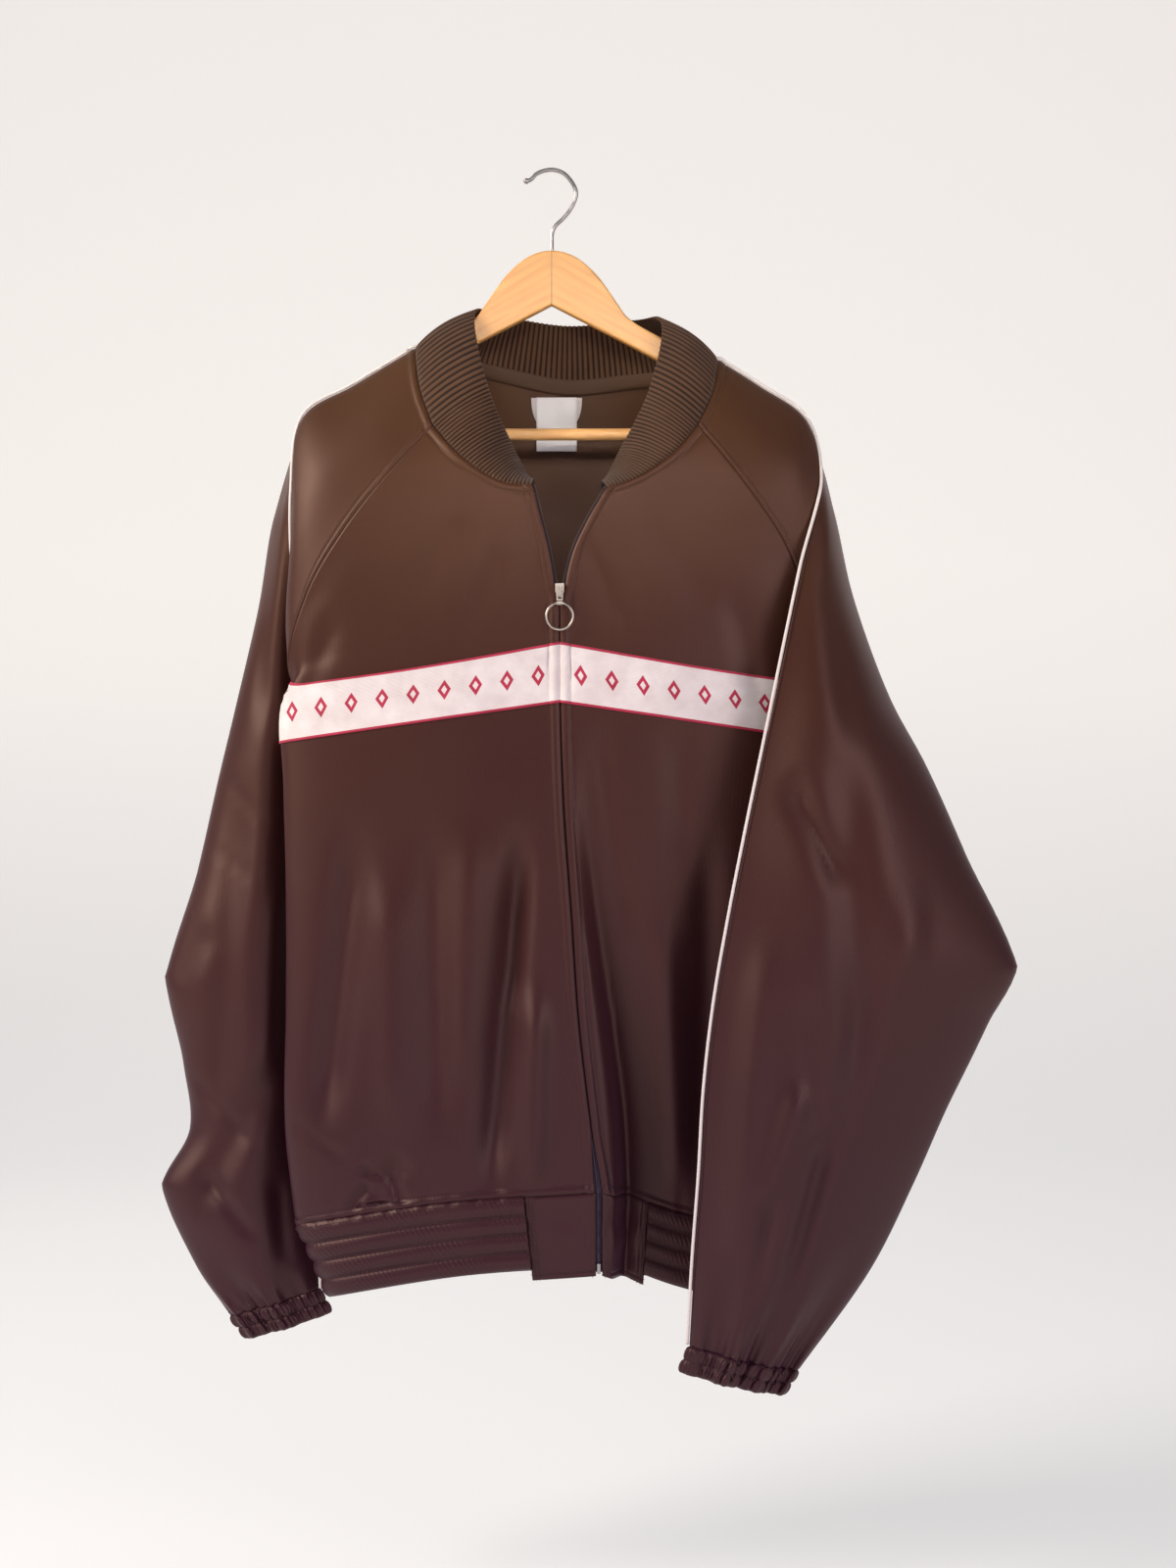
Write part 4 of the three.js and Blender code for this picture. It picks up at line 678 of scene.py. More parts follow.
def jointedWood():  # two arms of one hanger, glued at the middle: the grain leans with each arm
    finish = Finish("beechWood", Roughness=0.4, Coat_Weight=0.12, Coat_Roughness=0.3)
    place = finish.coordinates("Object")
    x, y, z = finish.parts(place)
    arm = finish.math("ABSOLUTE", x)
    slope, stretch = 0.56, 14.0
    along = finish.math("MULTIPLY_ADD", z, -slope, arm)
    across = finish.math("MULTIPLY", finish.math("MULTIPLY_ADD", arm, slope, z), stretch)
    deep = finish.math("MULTIPLY", y, stretch)
    grainPlace = finish.node("ShaderNodeCombineXYZ")
    for socket, source in enumerate((along, across, deep)):
        finish.link(source, grainPlace.inputs[socket])
    grain = finish.noise(grainPlace.outputs[0], 14, 4, 0.55)
    fleck = finish.noise(grainPlace.outputs[0], 120, 2, 0.7)
    tones = [(0.3, paint(206, 143, 74)), (0.5, paint(216, 158, 86)), (0.72, paint(223, 168, 97))]
    tone = finish.ramp(grain, tones)
    dark = finish.math("MULTIPLY", finish.math("GREATER_THAN", fleck, 0.64), 0.22)
    tone = finish.mix(dark, tone, paint(186, 124, 70))
    joint = finish.math("LESS_THAN", arm, 0.00035)
    finish.color(finish.mix(finish.math("MULTIPLY", joint, 0.75), tone, paint(128, 78, 40)))
    finish.bump(finish.math("SUBTRACT", fleck, joint), 0.06 * mm, 0.6)
    finish.rough(finish.math("MULTIPLY_ADD", grain, 0.2, 0.3))
    return finish.material


def metalFinish(name, tone, roughness):
    finish = Finish(name, Metallic=1.0)
    place = finish.coordinates("Object")
    wear = finish.noise(place, 160, 4, 0.7)
    finish.color(finish.ramp(wear, [(0.3, paint(*(c * 0.86 for c in tone))), (0.7, paint(*tone))]))
    finish.rough(finish.math("MULTIPLY_ADD", wear, 0.2, roughness - 0.1))
    finish.bump(finish.noise(finish.scaled(place, (900, 900, 200)), 1, 2), 0.02 * mm)
    return finish.material


def satinFinish():
    finish = Finish("labelSatin", Roughness=0.36, Sheen_Weight=0.2, Specular_IOR_Level=0.5)
    u, v, _ = finish.parts(finish.coordinates("UV"))
    cloud = finish.noise(finish.coordinates("Object"), 40, 3)
    finish.color(finish.ramp(cloud, [(0.3, paint(246, 240, 232)), (0.7, paint(255, 250, 244))]))
    slanted = finish.math("ADD", u, finish.math("MULTIPLY", v, 0.3))
    thread = finish.math("SINE", finish.math("MULTIPLY", slanted, tau / (0.45 * mm)))
    finish.bump(thread, 0.03 * mm)
    return finish.material


lozengeTape = chestTapeFinish()
# the second tone is painted shade for the rib grooves
ribKnit = ribFinish("ribCollarKnit", (80, 55, 36), (34, 20, 13), 3)
beech = jointedWood()
beechBar = woodFinish("beechDowel", (3, 30, 30))
bright = metalFinish("brightWire", (176, 170, 166), 0.32)
plated = metalFinish("platedZipMetal", (206, 194, 180), 0.3)
satin = satinFinish()
# painted shade for these knits too: each list of tones runs from a darker, more purple tone at the hem to a
# lighter, warmer one at the shoulders
tapeJersey = knittedWithPaintedShade(
    "neckTapeJersey", [(60, 40, 26), (66, 44, 28), (72, 48, 30), (78, 53, 33)], (0.9, 0.9), 0.05, 0.6,
    Specular_IOR_Level=0.3,
)
zipCloth = knittedWithPaintedShade(
    "zipTapeCloth", [(52, 40, 56), (54, 40, 50), (50, 36, 38), (52, 38, 34)], (0.7, 0.6), 0.05, 0.7,
    Specular_IOR_Level=0.25,
)
coilNylon = knittedWithPaintedShade(
    "zipCoilNylon", [(104, 96, 124), (98, 88, 108), (84, 68, 66), (96, 78, 66)], (0.5, 0.5), 0.01, 0.35,
    Specular_IOR_Level=0.5,
)
print("finishes made")

# meshes


def smoothShaded(mesh):
    mesh.polygons.foreach_set("use_smooth", [True] * len(mesh.polygons))


def meshObject(name, points, faces, material, uv=None):
    mesh = bpy.data.meshes.new(name)
    mesh.from_pydata([tuple(p) for p in (np.asarray(points).reshape(-1, 3) * mm)], [], faces)
    smoothShaded(mesh)
    if uv is not None:
        layer = mesh.uv_layers.new(name="cloth")
        index = np.empty(len(mesh.loops), dtype=np.int32)
        mesh.loops.foreach_get("vertex_index", index)
        layer.data.foreach_set("uv", (np.asarray(uv).reshape(-1, 2)[index] * mm).ravel())
    mesh.materials.append(material)
    mesh.update()
    return placed(name, mesh)


def gridFaces(rows, columns, outward, ring=False):
    faces = []
    for r in range(rows - 1):
        for c in range(columns if ring else columns - 1):
            d = (c + 1) % columns
            quad = (r * columns + c, r * columns + d, (r + 1) * columns + d, (r + 1) * columns + c)
            faces.append(quad if outward > 0 else quad[::-1])
    return faces


def gridUv(grid):
    across = runs(grid, 1)
    along = np.repeat(runs(grid, 0).mean(axis=1, keepdims=True), grid.shape[1], axis=1)
    return np.stack([across, along], axis=-1)


def shell(piece, wall):
    wallModifier = piece.modifiers.new("wall", "SOLIDIFY")
    wallModifier.thickness = wall * mm
    wallModifier.offset = -1
    return piece


def gridArea(grid):
    a, b = grid[1:, 1:] - grid[:-1, :-1], grid[1:, :-1] - grid[:-1, 1:]
    return np.linalg.norm(np.cross(a, b), axis=2).sum() / 2 * mm * mm


def clothPiece(name, grid, outward, material, wall, nodes, flat, share, ring=False):
    uv = gridUv(grid)
    piece = meshObject(name, grid, gridFaces(*grid.shape[:2], outward, ring), material, uv)
    shell(piece, wall)
    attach(piece, "garment")
    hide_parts(*nodes)
    cut = round(flat[0] * flat[1] * share, 4)
    print(f"{name}: {gridArea(grid):.4f} square metres, cut {cut:.4f}")
    return piece


stitchLines = []  # polylines on the cloth for the sewing machine


def stitchRow(grid, outward, edge, distance, lift=0.25):
    # a line of the grid at a distance from one of its edges
    raised = grid + gridNormals(grid, outward) * lift
    if edge in ("bottom", "top"):
        raised = raised.transpose(1, 0, 2)
    if edge in ("end", "top"):
        raised = raised[:, ::-1]
    run = runs(raised, 1)
    line = [[np.interp(distance, run[r], raised[r, :, k]) for k in range(3)] for r in range(len(raised))]
    stitchLines.append(np.array(line))


cloth = {"wall": 1.0}
panelSeams = (zipEdge, seamLine, hemSeamLine, necklineSeam)  # at the start, end, bottom and top
backSeams = (seamLine, seamLine, hemSeamLine, necklineSeam)
sleeveSeams = (seamLine, twinSeam, necklineSeam, seamLine)
laidOut = {  # each grid with the side that faces outwards and its seams
    "frontRight": (panels["right"]["grid"], -1, panelSeams),
    "frontLeft": (panels["left"]["grid"], 1, panelSeams),
    "backPanel": (panels["back"]["grid"], -1, backSeams),
    "sleeveRightFront": (sleeves["right"]["front"], -1, sleeveSeams),
    "sleeveRightBack": (sleeves["right"]["back"], 1, sleeveSeams),
    "sleeveLeftFront": (sleeves["left"]["front"], 1, sleeveSeams),
    "sleeveLeftBack": (sleeves["left"]["back"], -1, sleeveSeams),
}
pressed = {name: (pressSeams(grid, out, *lines), out) for name, (grid, out, lines) in laidOut.items()}
cuts = {  # each piece's cut before sewing, in metres, and the share of that rectangle that the cloth covers
    "frontRight": (("front_right",), (0.30, 0.64), 0.86),
    "frontLeft": (("front_left",), (0.30, 0.64), 0.84),
    "backPanel": (("back_panel",), (0.52, 0.72), 0.76),
    "sleeveRightFront": (("sleeve_right_front",), (0.16, 0.86), 0.46),
    "sleeveRightBack": (("sleeve_right_back",), (0.26, 0.86), 0.84),
    "sleeveLeftFront": (("sleeve_left_front",), (0.23, 0.86), 0.62),
    "sleeveLeftBack": (("sleeve_left_back",), (0.30, 0.86), 0.84),
}
for name, (grid, outward) in pressed.items():
    nodes, flat, share = cuts[name]
    clothPiece(name, grid, outward, jersey, cloth["wall"], nodes, flat, share)
for name in ("frontRight", "frontLeft"):
    grid, outward = pressed[name]
    stitchRow(grid, outward, "start", topstitch["zip"])
    stitchRow(grid, outward, "top", topstitch["neckline"])
    stitchRow(grid, outward, "bottom", topstitch["hem"])
grid, outward = pressed["backPanel"]
stitchRow(grid, outward, "top", topstitch["neckline"])
stitchRow(grid, outward, "bottom", topstitch["hem"])
for side in ("Right", "Left"):
    for half in ("Front", "Back"):
        grid, outward = pressed[f"sleeve{side}{half}"]
        for distance in topstitch["overarm"]:  # from the neck to just below the underarm
            stitchRow(grid[:62], outward, "end", distance)
        stitchRow(grid, outward, "bottom", topstitch["neckline"])
print("panels and sleeves sewn")

# collar
collar = {
    "wall": 2.2, "rib": 0.8, "pitch": 3, "bulge": 5, "ribPoints": 6, "rows": 16,
    "ribsOf": (16, 16, 16, 24, 16, 16, 24, 16, 16, 16),
}


def edgeCurve(grid, shares, row, reverse=False):
    points = grid[row]

    def along(s):
        return pointsAt(1 - s if reverse else s, shares, points)

    return along


def necklineParts():
    right, left = sleeves["right"], sleeves["left"]
    frontRight = edgeCurve(panels["right"]["grid"], panels["right"]["shares"], -1)
    frontLeft = edgeCurve(panels["left"]["grid"], panels["left"]["shares"], -1, True)
    back = edgeCurve(panels["back"]["grid"], panels["back"]["shares"], -1)
    return [
        (frontRight, 0, 0.5), (frontRight, 0.5, 1),
        (edgeCurve(right["front"], right["frontShares"], 0, True), 0, 1),
        (edgeCurve(right["back"], right["backShares"], 0), 0, 1),
        (back, 0, 0.5), (back, 0.5, 1),
        (edgeCurve(left["back"], left["backShares"], 0, True), 0, 1),
        (edgeCurve(left["front"], left["frontShares"], 0), 0, 1),
        (frontLeft, 0, 0.5), (frontLeft, 0.5, 1),
    ]


def collarColumns():
    low, high, phase = [], [], []
    ribs = 0
    for i, ((along, start, stop), count) in enumerate(zip(necklineParts(), collar["ribsOf"])):
        steps = np.arange(count * collar["ribPoints"]) / (count * collar["ribPoints"])
        low.append(along(start + (stop - start) * steps))
        high.append(smoothCurve(collarTop, (i + steps) / (len(collarTop) - 1)))
        phase.append(ribs + steps * count)
        ribs += count
    along, _, stop = necklineParts()[-1]
    low.append(along(np.array([stop])))
    high.append(collarTop[-1:])
    phase.append([ribs])
    return np.vstack(low), np.vstack(high), np.concatenate(phase)


def makeCollar():
    low, high, phase = collarColumns()
    out = unit(np.cross(high - low, np.gradient(low, axis=0)))
    # the middle surface, then both faces of the doubled knit with a rolled top edge
    shares = np.linspace(0, 1, collar["rows"] + 1)
    face = np.array([low + (high - low) * t + out * collar["bulge"] * 4 * t * (1 - t) for t in shares])
    normals = gridNormals(face, -1)
    ribs = (0.5 - 0.5 * np.cos(tau * phase))[None, :, None] ** 0.8
    lift = smoothStep(shares / 0.06)[:, None, None]
    outer = face + normals * ribs * lift * collar["rib"]
    inner = face - normals * (collar["wall"] - 0.2) - normals * (1 - ribs) * -lift * 0.4
    up = unit(face[-1] - face[-2])
    roll = []
    middle = (outer[-1] + inner[-1]) / 2
    radius = (outer[-1] - inner[-1]) / 2
    reach = np.linalg.norm(radius, axis=1, keepdims=True)
    for angle in np.linspace(0, math.pi, 7)[1:-1]:
        roll.append(middle + radius * math.cos(angle) + up * reach * math.sin(angle))
    section = np.concatenate([outer, np.array(roll), inner[::-1]])
    rows, columns = section.shape[:2]
    faces = gridFaces(rows, columns, -1)
    rim = (rows - 1) * columns
    faces += [(c, c + 1, rim + c + 1, rim + c) for c in range(columns - 1)]
    for c, order in ((0, 1), (columns - 1, -1)):
        faces.append(tuple(r * columns + c for r in range(rows))[::order])
    uv = np.stack(np.broadcast_arrays(phase[None, :] * collar["pitch"], runs(section, 0)), axis=-1)
    piece = meshObject("ribCollar", section, faces, ribKnit, uv)
    fixNormals(piece)
    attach(piece, "garment")
    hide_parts("collar_rib")
    print(f"collar: {gridArea(face):.4f} square metres a layer")


def fixNormals(piece):
    work = bmesh.new()
    work.from_mesh(piece.data)
    bmesh.ops.recalc_face_normals(work, faces=work.faces)
    work.to_mesh(piece.data)
    work.free()


makeCollar()

# hem
hem = {
    "drop": 60, "pull": (0.9, 0.92), "middle": 40, "channels": 4, "wall": 1.6, "puff": 3.1, "gather": 0.45,
    "tabFrom": 3 / 16, "tabLength": 1.15, "points": 1000, "rows": 40, "tuck": 2.4,
}


def hemPoint(top, share):
    across, depth = (1 + (pull - 1) * share for pull in hem["pull"])
    x = hem["middle"] + (top[:, 0] - hem["middle"]) * across
    return np.stack([x, top[:, 1] * depth, top[:, 2] - hem["drop"] * share], axis=1)


def evened(values, count):
    weights = np.hanning(count + 2)[1:-1]
    padded = np.pad(values, count // 2, mode="reflect", reflect_type="odd")
    return np.convolve(padded, weights / weights.sum(), mode="valid")


def tucked(grid, normals, depth):  # one more row at the top, held behind the edge of the piece above
    up = (grid[:1] - grid[2:3]) * 1.3
    return np.concatenate([grid[:1] + up - normals[:1] * depth, grid])


def makeHem():
    right = edgeCurve(panels["right"]["grid"], panels["right"]["shares"], 0)
    back = edgeCurve(panels["back"]["grid"], panels["back"]["shares"], 0)
    left = edgeCurve(panels["left"]["grid"], panels["left"]["shares"], 0, True)
    coarse = np.vstack([
        right(np.linspace(hem["tabFrom"], 1, 120))[:-1], back(np.linspace(0, 1, 200))[:-1],
        left(np.linspace(0, 1 - hem["tabFrom"], 120)),
    ])
    run = lengthAlong(coarse)
    place = np.linspace(0, run[-1], hem["points"])
    seam = pointsAt(place, run, coarse)
    shares = np.linspace(0, 1, hem["rows"] + 1)
    # the panel's small gathers end at the seam
    level = np.stack([evened(seam[:, k], 61) for k in range(3)], axis=1)
    grid = np.array([hemPoint(seam + (level - seam) * smoothStep(t / 0.1), t) for t in shares])
    normals = gridNormals(grid, 1)
    channel = np.abs(np.sin(math.pi * hem["channels"] * shares))[:, None] ** 0.7
    u = place[None, :]
    row = np.floor(shares * hem["channels"] * 0.9999)[:, None]
    slant = u + 0.6 * hem["drop"] * shares[:, None]
    wave = np.sin(slant * tau / 4.4 + row * 2.1 + 1.6 * np.sin(u / 19)) * (0.6 + 0.4 * np.sin(u / 13 + row))
    puff = channel * (hem["puff"] + wave * hem["gather"] + 0.4 * np.sin(u / 21 + 0.6 * row))
    grid = tucked(grid + normals * puff[..., None], normals, hem["tuck"])
    clothPiece("hemBand", grid, 1, jersey, hem["wall"], ("hem_band",), (1.02, 0.065), 0.98)
    for k in range(hem["channels"]):
        line = max(1, k * hem["rows"] // hem["channels"])
        stitchLines.append(grid[line + 1] + normals[line] * 0.35)


def makeTab(side, outward):
    along = edgeCurve(panels[side]["grid"], panels[side]["shares"], 0)
    top = along(closeTo(26, 1, 45) * hem["tabFrom"])
    shares = closeTo(30, 1, 66) * hem["tabLength"]
    grid = np.array([hemPoint(top, t) for t in shares])
    s = np.linspace(0, 1, grid.shape[1])[None, :, None]
    swell = np.sin(math.pi * s) * np.sin(math.pi * shares / hem["tabLength"])[:, None, None]
    wave = 0.5 + 1.1 * np.sin(5 * s + 9 * shares[:, None, None])
    grid = grid + gridNormals(grid, outward) * swell * wave
    single = [(0, 0.6, 1.0)]
    double = [(0, 0.8, 1.2), (3.4, 0.6, 0.9), (6.6, 0.6, 0.9)]
    grid = pressSeams(grid, outward, single, double, [(0, 0.9, 1.3)], [(0, 0.6, 1.1), (5, 0.5, 0.9)])
    name = "hemTab" + side.capitalize()
    clothPiece(name, grid, outward, jersey, hem["wall"], ("hem_tab_" + side,), (0.06, 0.085), 0.75)
    for edge, distance in (("end", 3.4), ("end", 6.6), ("top", 5), ("start", 3)):
        stitchRow(grid, outward, edge, distance)


makeHem()
makeTab("right", 1)
makeTab("left", -1)

# cuffs
cuff = {
    "drop": 23, "wall": 1.8, "puff": 1.9, "gather": 0.75, "waves": 33, "rows": 20, "points": 480, "tuck": 2.1,
}


def makeCuff(side, outward):
    sleeve = sleeves[side]
    ring = np.vstack([sleeve["back"][-1], sleeve["front"][-1][::-1][1:-1]])
    closed = np.vstack([ring, ring[:1]])
    run = lengthAlong(closed)
    place = np.linspace(0, run[-1], cuff["points"], endpoint=False)
    top = pointsAt(place, run, closed)
    above = sleeve["back"][np.searchsorted(sleeve["stations"], sleeve["last"] - 1)].mean(axis=0)
    down = unit(unit(top.mean(axis=0) - above) * [1, 0.3, 1])
    shares = np.linspace(0, 1, cuff["rows"] + 1)
    centre = top.mean(axis=0)
    grid = np.array([(top + (centre - top) * 0.06 * t) + down * cuff["drop"] * t for t in shares])
    wrapped = np.concatenate([grid[:, -1:], grid, grid[:, :1]], axis=1)
    normals = gridNormals(wrapped, outward)[:, 1:-1]
    channel = np.abs(np.sin(2 * math.pi * shares))[:, None] ** 0.5
    angle = place[None, :] / run[-1] * tau
    row = np.floor(shares * 1.9999)[:, None]
    wave = np.sin(cuff["waves"] * angle + 0.8 * np.sin(3 * angle) + 0.5 * row)
    wave += 0.5 * np.sin(2 * cuff["waves"] * angle + row)
    puff = channel * (cuff["puff"] + cuff["gather"] * wave) + (1 - channel) * 0.25 * wave
    grid = tucked(grid + normals * puff[..., None], normals, cuff["tuck"])
    name = "cuff" + side.capitalize()
    flat = (round(float(run[-1]) * mm, 3), 0.032)
    clothPiece(name, grid, outward, jersey, cuff["wall"], ("cuff_" + side,), flat, 0.95, ring=True)
    loop = grid[cuff["rows"] // 2 + 1] + normals[cuff["rows"] // 2] * 0.3
    stitchLines.append(np.vstack([loop, loop[:1]]))


makeCuff("right", 1)
makeCuff("left", -1)
print("collar, hem and cuffs sewn")

# tubes: piping, hook, ring


def tube(name, path, radii, sides, material, closed=False, up=None):
    path = np.asarray(path, float)
    radii = np.broadcast_to(radii, len(path))
    if closed:
        tangents = np.roll(path, -1, axis=0) - np.roll(path, 1, axis=0)
    else:
        tangents = np.gradient(path, axis=0)
    tangents = unit(tangents)
    up = np.broadcast_to(np.array([0, -1.0, 0]) if up is None else up, path.shape)
    side = unit(np.cross(tangents, up))
    upright = np.cross(side, tangents)
    angles = np.linspace(0, tau, sides, endpoint=False)
    around = side[:, None] * np.cos(angles)[None, :, None] + upright[:, None] * np.sin(angles)[None, :, None]
    points = (path[:, None] + radii[:, None, None] * around).reshape(-1, 3)
    count = len(path)
    faces = []
    for i in range(count if closed else count - 1):
        j = (i + 1) % count
        for k in range(sides):
            m = (k + 1) % sides
            faces.append((i * sides + k, i * sides + m, j * sides + m, j * sides + k))
    if not closed:
        faces += [tuple(range(sides))[::-1], tuple((count - 1) * sides + k for k in range(sides))]
    run = lengthAlong(path)
    uv = np.stack(np.broadcast_arrays(run[:, None], (angles * np.mean(radii))[None, :]), axis=-1)
    piece = meshObject(name, points, faces, material, uv)
    fixNormals(piece)
    return piece


def carry(piece, body, *nodes):
    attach(piece, body)
    if nodes:
        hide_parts(*nodes)
    return piece


piping = {"lift": 1.9, "radius": 1.35, "sides": 12}
for side, outward in (("Right", 1), ("Left", -1)):
    back, front = pressed[f"sleeve{side}Back"][0], pressed[f"sleeve{side}Front"][0]
    own = unit(gridNormals(back, outward)[:, 0] + gridNormals(front, -outward)[:, 0])
    path = back[:, 0] + own * piping["lift"]
    cord = tube("piping" + side, path[:-1], piping["radius"], piping["sides"], whiteTape, up=own[:-1])
    carry(cord, "garment", "piping_" + side.lower())

# chest tapes
chest = {"top": -401, "slope": 0.145, "height": 50, "lift": 0.9, "wall": 0.7, "middle": 7.5}


def onPanel(grid, normals, c, heights):  # points of one column of a panel at some heights
    z = grid[:, c, 2]
    rows = np.interp(heights, z, np.arange(len(z)))
    low = np.minimum(rows.astype(int), len(z) - 2)
    w = (rows - low)[:, None]
    return tuple(field[low, c] * (1 - w) + field[low + 1, c] * w for field in (grid, normals))


def makeChestTape(name, node, panel, outward):
    grid, _ = pressed[panel]
    normals = gridNormals(grid, outward)
    shares = panels["right" if outward < 0 else "left"]["shares"]
    columns = [c for c in range(len(shares)) if shares[c] < 0.905]
    edges = np.array([0, 0.012, 0.03, 0.045, 0.06, 0.2, 0.35, 0.5, 0.65, 0.8, 0.94, 0.955, 0.97, 0.988, 1])
    level = np.searchsorted(stationsBody, sideStations)
    tape = []
    for c in columns:
        away = abs(grid[level, c, 0] - chest["middle"])
        heights = chest["top"] - chest["slope"] * away - edges * chest["height"]
        points, out = onPanel(grid, normals, c, heights)
        cord = 0.5 * np.exp(-(((np.minimum(edges, 1 - edges) * chest["height"] - 1.2) / 0.9) ** 2))
        tape.append(points + unit(out) * (chest["lift"] + cord)[:, None])
    tape = np.array(tape).transpose(1, 0, 2)
    uv = np.stack(np.broadcast_arrays(runs(tape, 1), (edges * chest["height"])[:, None]), axis=-1)
    piece = meshObject(name, tape, gridFaces(*tape.shape[:2], -outward), lozengeTape, uv)
    shell(piece, chest["wall"])
    carry(piece, "garment", node)
    length = round(float(runs(tape, 1)[0, -1]) * mm, 3)


makeChestTape("chestTapeRight", "chest_tape_right", "frontRight", -1)
makeChestTape("chestTapeLeft", "chest_tape_left", "frontLeft", 1)
print("piping and chest tapes sewn")

# zip


def zipEdgeRows(side):  # the line of a zip edge, from the bottom of the hem up
    grid, _ = pressed["frontRight" if side == "right" else "frontLeft"]
    tabTop = hemPoint(grid[0, :1], 0)
    low = np.array([hemPoint(grid[0, :1], t)[0] for t in (1.1, 0.8, 0.5, 0.25)])
    return np.vstack([low, tabTop, grid[1:, 0]])


def zipMiddle():
    rightPath, leftPath = zipEdgeRows("right"), zipEdgeRows("left")
    return (rightPath + leftPath) / 2, rightPath, leftPath


def makeZip():
    middle, rightPath, leftPath = zipMiddle()
    closed = middle[:, 2] < zipSizes["sliderZ"] + 4
    chains = []
    for side, path, sign in (("right", rightPath, 1), ("left", leftPath, -1)):
        gap = np.abs(middle[:, 0] - path[:, 0])
        reach = np.where(closed, gap - zipSizes["chain"], zipSizes["openReach"])
        inside = path + np.array([0, zipSizes["behind"], 0])
        edge = inside + evened(reach, 5)[:, None] * np.array([sign, 0, 0])
        outer = inside - zipSizes["tapeWide"] * np.array([sign, 0, 0]) + [0, 1.2, 0]
        tape = np.array([outer, inside, (inside + edge) / 2, edge])
        piece = meshObject(
            "zipTape" + side.capitalize(), tape, gridFaces(4, tape.shape[1], -sign), zipCloth, gridUv(tape))
        shell(piece, zipSizes["wall"])
        carry(piece, "garment", "zip_tape_" + side)
        chains.append(edge + np.array([0, -0.5, 0]))
    return chains


def nodeGroup(name, sockets):
    tree = bpy.data.node_groups.new(name, "GeometryNodeTree")
    tree.interface.new_socket("Lines", in_out="INPUT", socket_type="NodeSocketGeometry")
    for label, kind, value in sockets:
        made = tree.interface.new_socket(label, in_out="INPUT", socket_type=kind)
        if value is not None:
            made.default_value = value
    tree.interface.new_socket("Pieces", in_out="OUTPUT", socket_type="NodeSocketGeometry")
    return tree


def alongLines(name):  # one small body at each step of every line, turned along it
    tree = nodeGroup(name, [
        ("Pitch", "NodeSocketFloat", 0.003), ("Long", "NodeSocketFloat", 0.002),
        ("Wide", "NodeSocketFloat", 0.0005), ("High", "NodeSocketFloat", 0.0004),
        ("Material", "NodeSocketMaterial", None),
    ])
    nodes, links = tree.nodes, tree.links
    start, end = nodes.new("NodeGroupInput"), nodes.new("NodeGroupOutput")
    curves = nodes.new("GeometryNodeMeshToCurve")
    steps = nodes.new("GeometryNodeResampleCurve")
    steps.mode = "LENGTH"
    body = nodes.new("GeometryNodeMeshUVSphere")
    body.inputs["Segments"].default_value = 6
    body.inputs["Rings"].default_value = 3
    body.inputs["Radius"].default_value = 0.5
    size = nodes.new("ShaderNodeCombineXYZ")
    shape = nodes.new("GeometryNodeTransform")
    tangent = nodes.new("GeometryNodeInputTangent")
    turn = nodes.new("FunctionNodeAlignRotationToVector")
    turn.axis = "Z"
    place = nodes.new("GeometryNodeInstanceOnPoints")
    real = nodes.new("GeometryNodeRealizeInstances")
    finish = nodes.new("GeometryNodeSetMaterial")
    links.new(start.outputs["Lines"], curves.inputs[0])
    links.new(curves.outputs[0], steps.inputs["Curve"])
    links.new(start.outputs["Pitch"], steps.inputs["Length"])
    for k, label in enumerate(("Wide", "High", "Long")):
        links.new(start.outputs[label], size.inputs[k])
    links.new(body.outputs["Mesh"], shape.inputs["Geometry"])
    links.new(size.outputs[0], shape.inputs["Scale"])
    links.new(tangent.outputs[0], turn.inputs["Vector"])
    links.new(steps.outputs[0], place.inputs["Points"])
    links.new(shape.outputs[0], place.inputs["Instance"])
    links.new(turn.outputs[0], place.inputs["Rotation"])
    links.new(place.outputs[0], real.inputs[0])
    links.new(real.outputs[0], finish.inputs["Geometry"])
    links.new(start.outputs["Material"], finish.inputs["Material"])
    links.new(finish.outputs[0], end.inputs["Pieces"])
    return tree


def setOnLines(name, lines, tree, material, pitch, size):
    points, edges = [], []
    for line in lines:
        first = len(points)
        points += [tuple(p * mm) for p in line]
        edges += [(first + k, first + k + 1) for k in range(len(line) - 1)]
    mesh = bpy.data.meshes.new(name + "Lines")
    mesh.from_pydata(points, edges, [])
    source = placed(name + "Lines", mesh)
    modifier = source.modifiers.new("pieces", "NODES")
    modifier.node_group = tree
    sockets = {item.name: item.identifier for item in tree.interface.items_tree if item.in_out == "INPUT"}
    wide, high, long = (value * mm for value in size)
    values = {"Pitch": pitch * mm, "Wide": wide, "High": high, "Long": long, "Material": material}
    for label, value in values.items():
        modifier[sockets[label]] = value
    made = bpy.data.meshes.new_from_object(source.evaluated_get(bpy.context.evaluated_depsgraph_get()))
    bpy.data.objects.remove(source)
    made.name = name
    if not made.materials:
        made.materials.append(material)
    smoothShaded(made)
    piece = placed(name, made)
    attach(piece, "garment")
    return piece


beads = alongLines("beadsAlongLines")
chains = makeZip()
shifted = [chains[0], chains[1] + np.array([0, 0, zipSizes["toothPitch"] / 2])]
teeth = setOnLines("zipTeeth", shifted, beads, coilNylon, zipSizes["toothPitch"], zipSizes["toothSize"])
sewing = setOnLines("topstitching", stitchLines, beads, stitchThread, topstitch["pitch"], topstitch["size"])
print("zip and sewing made")


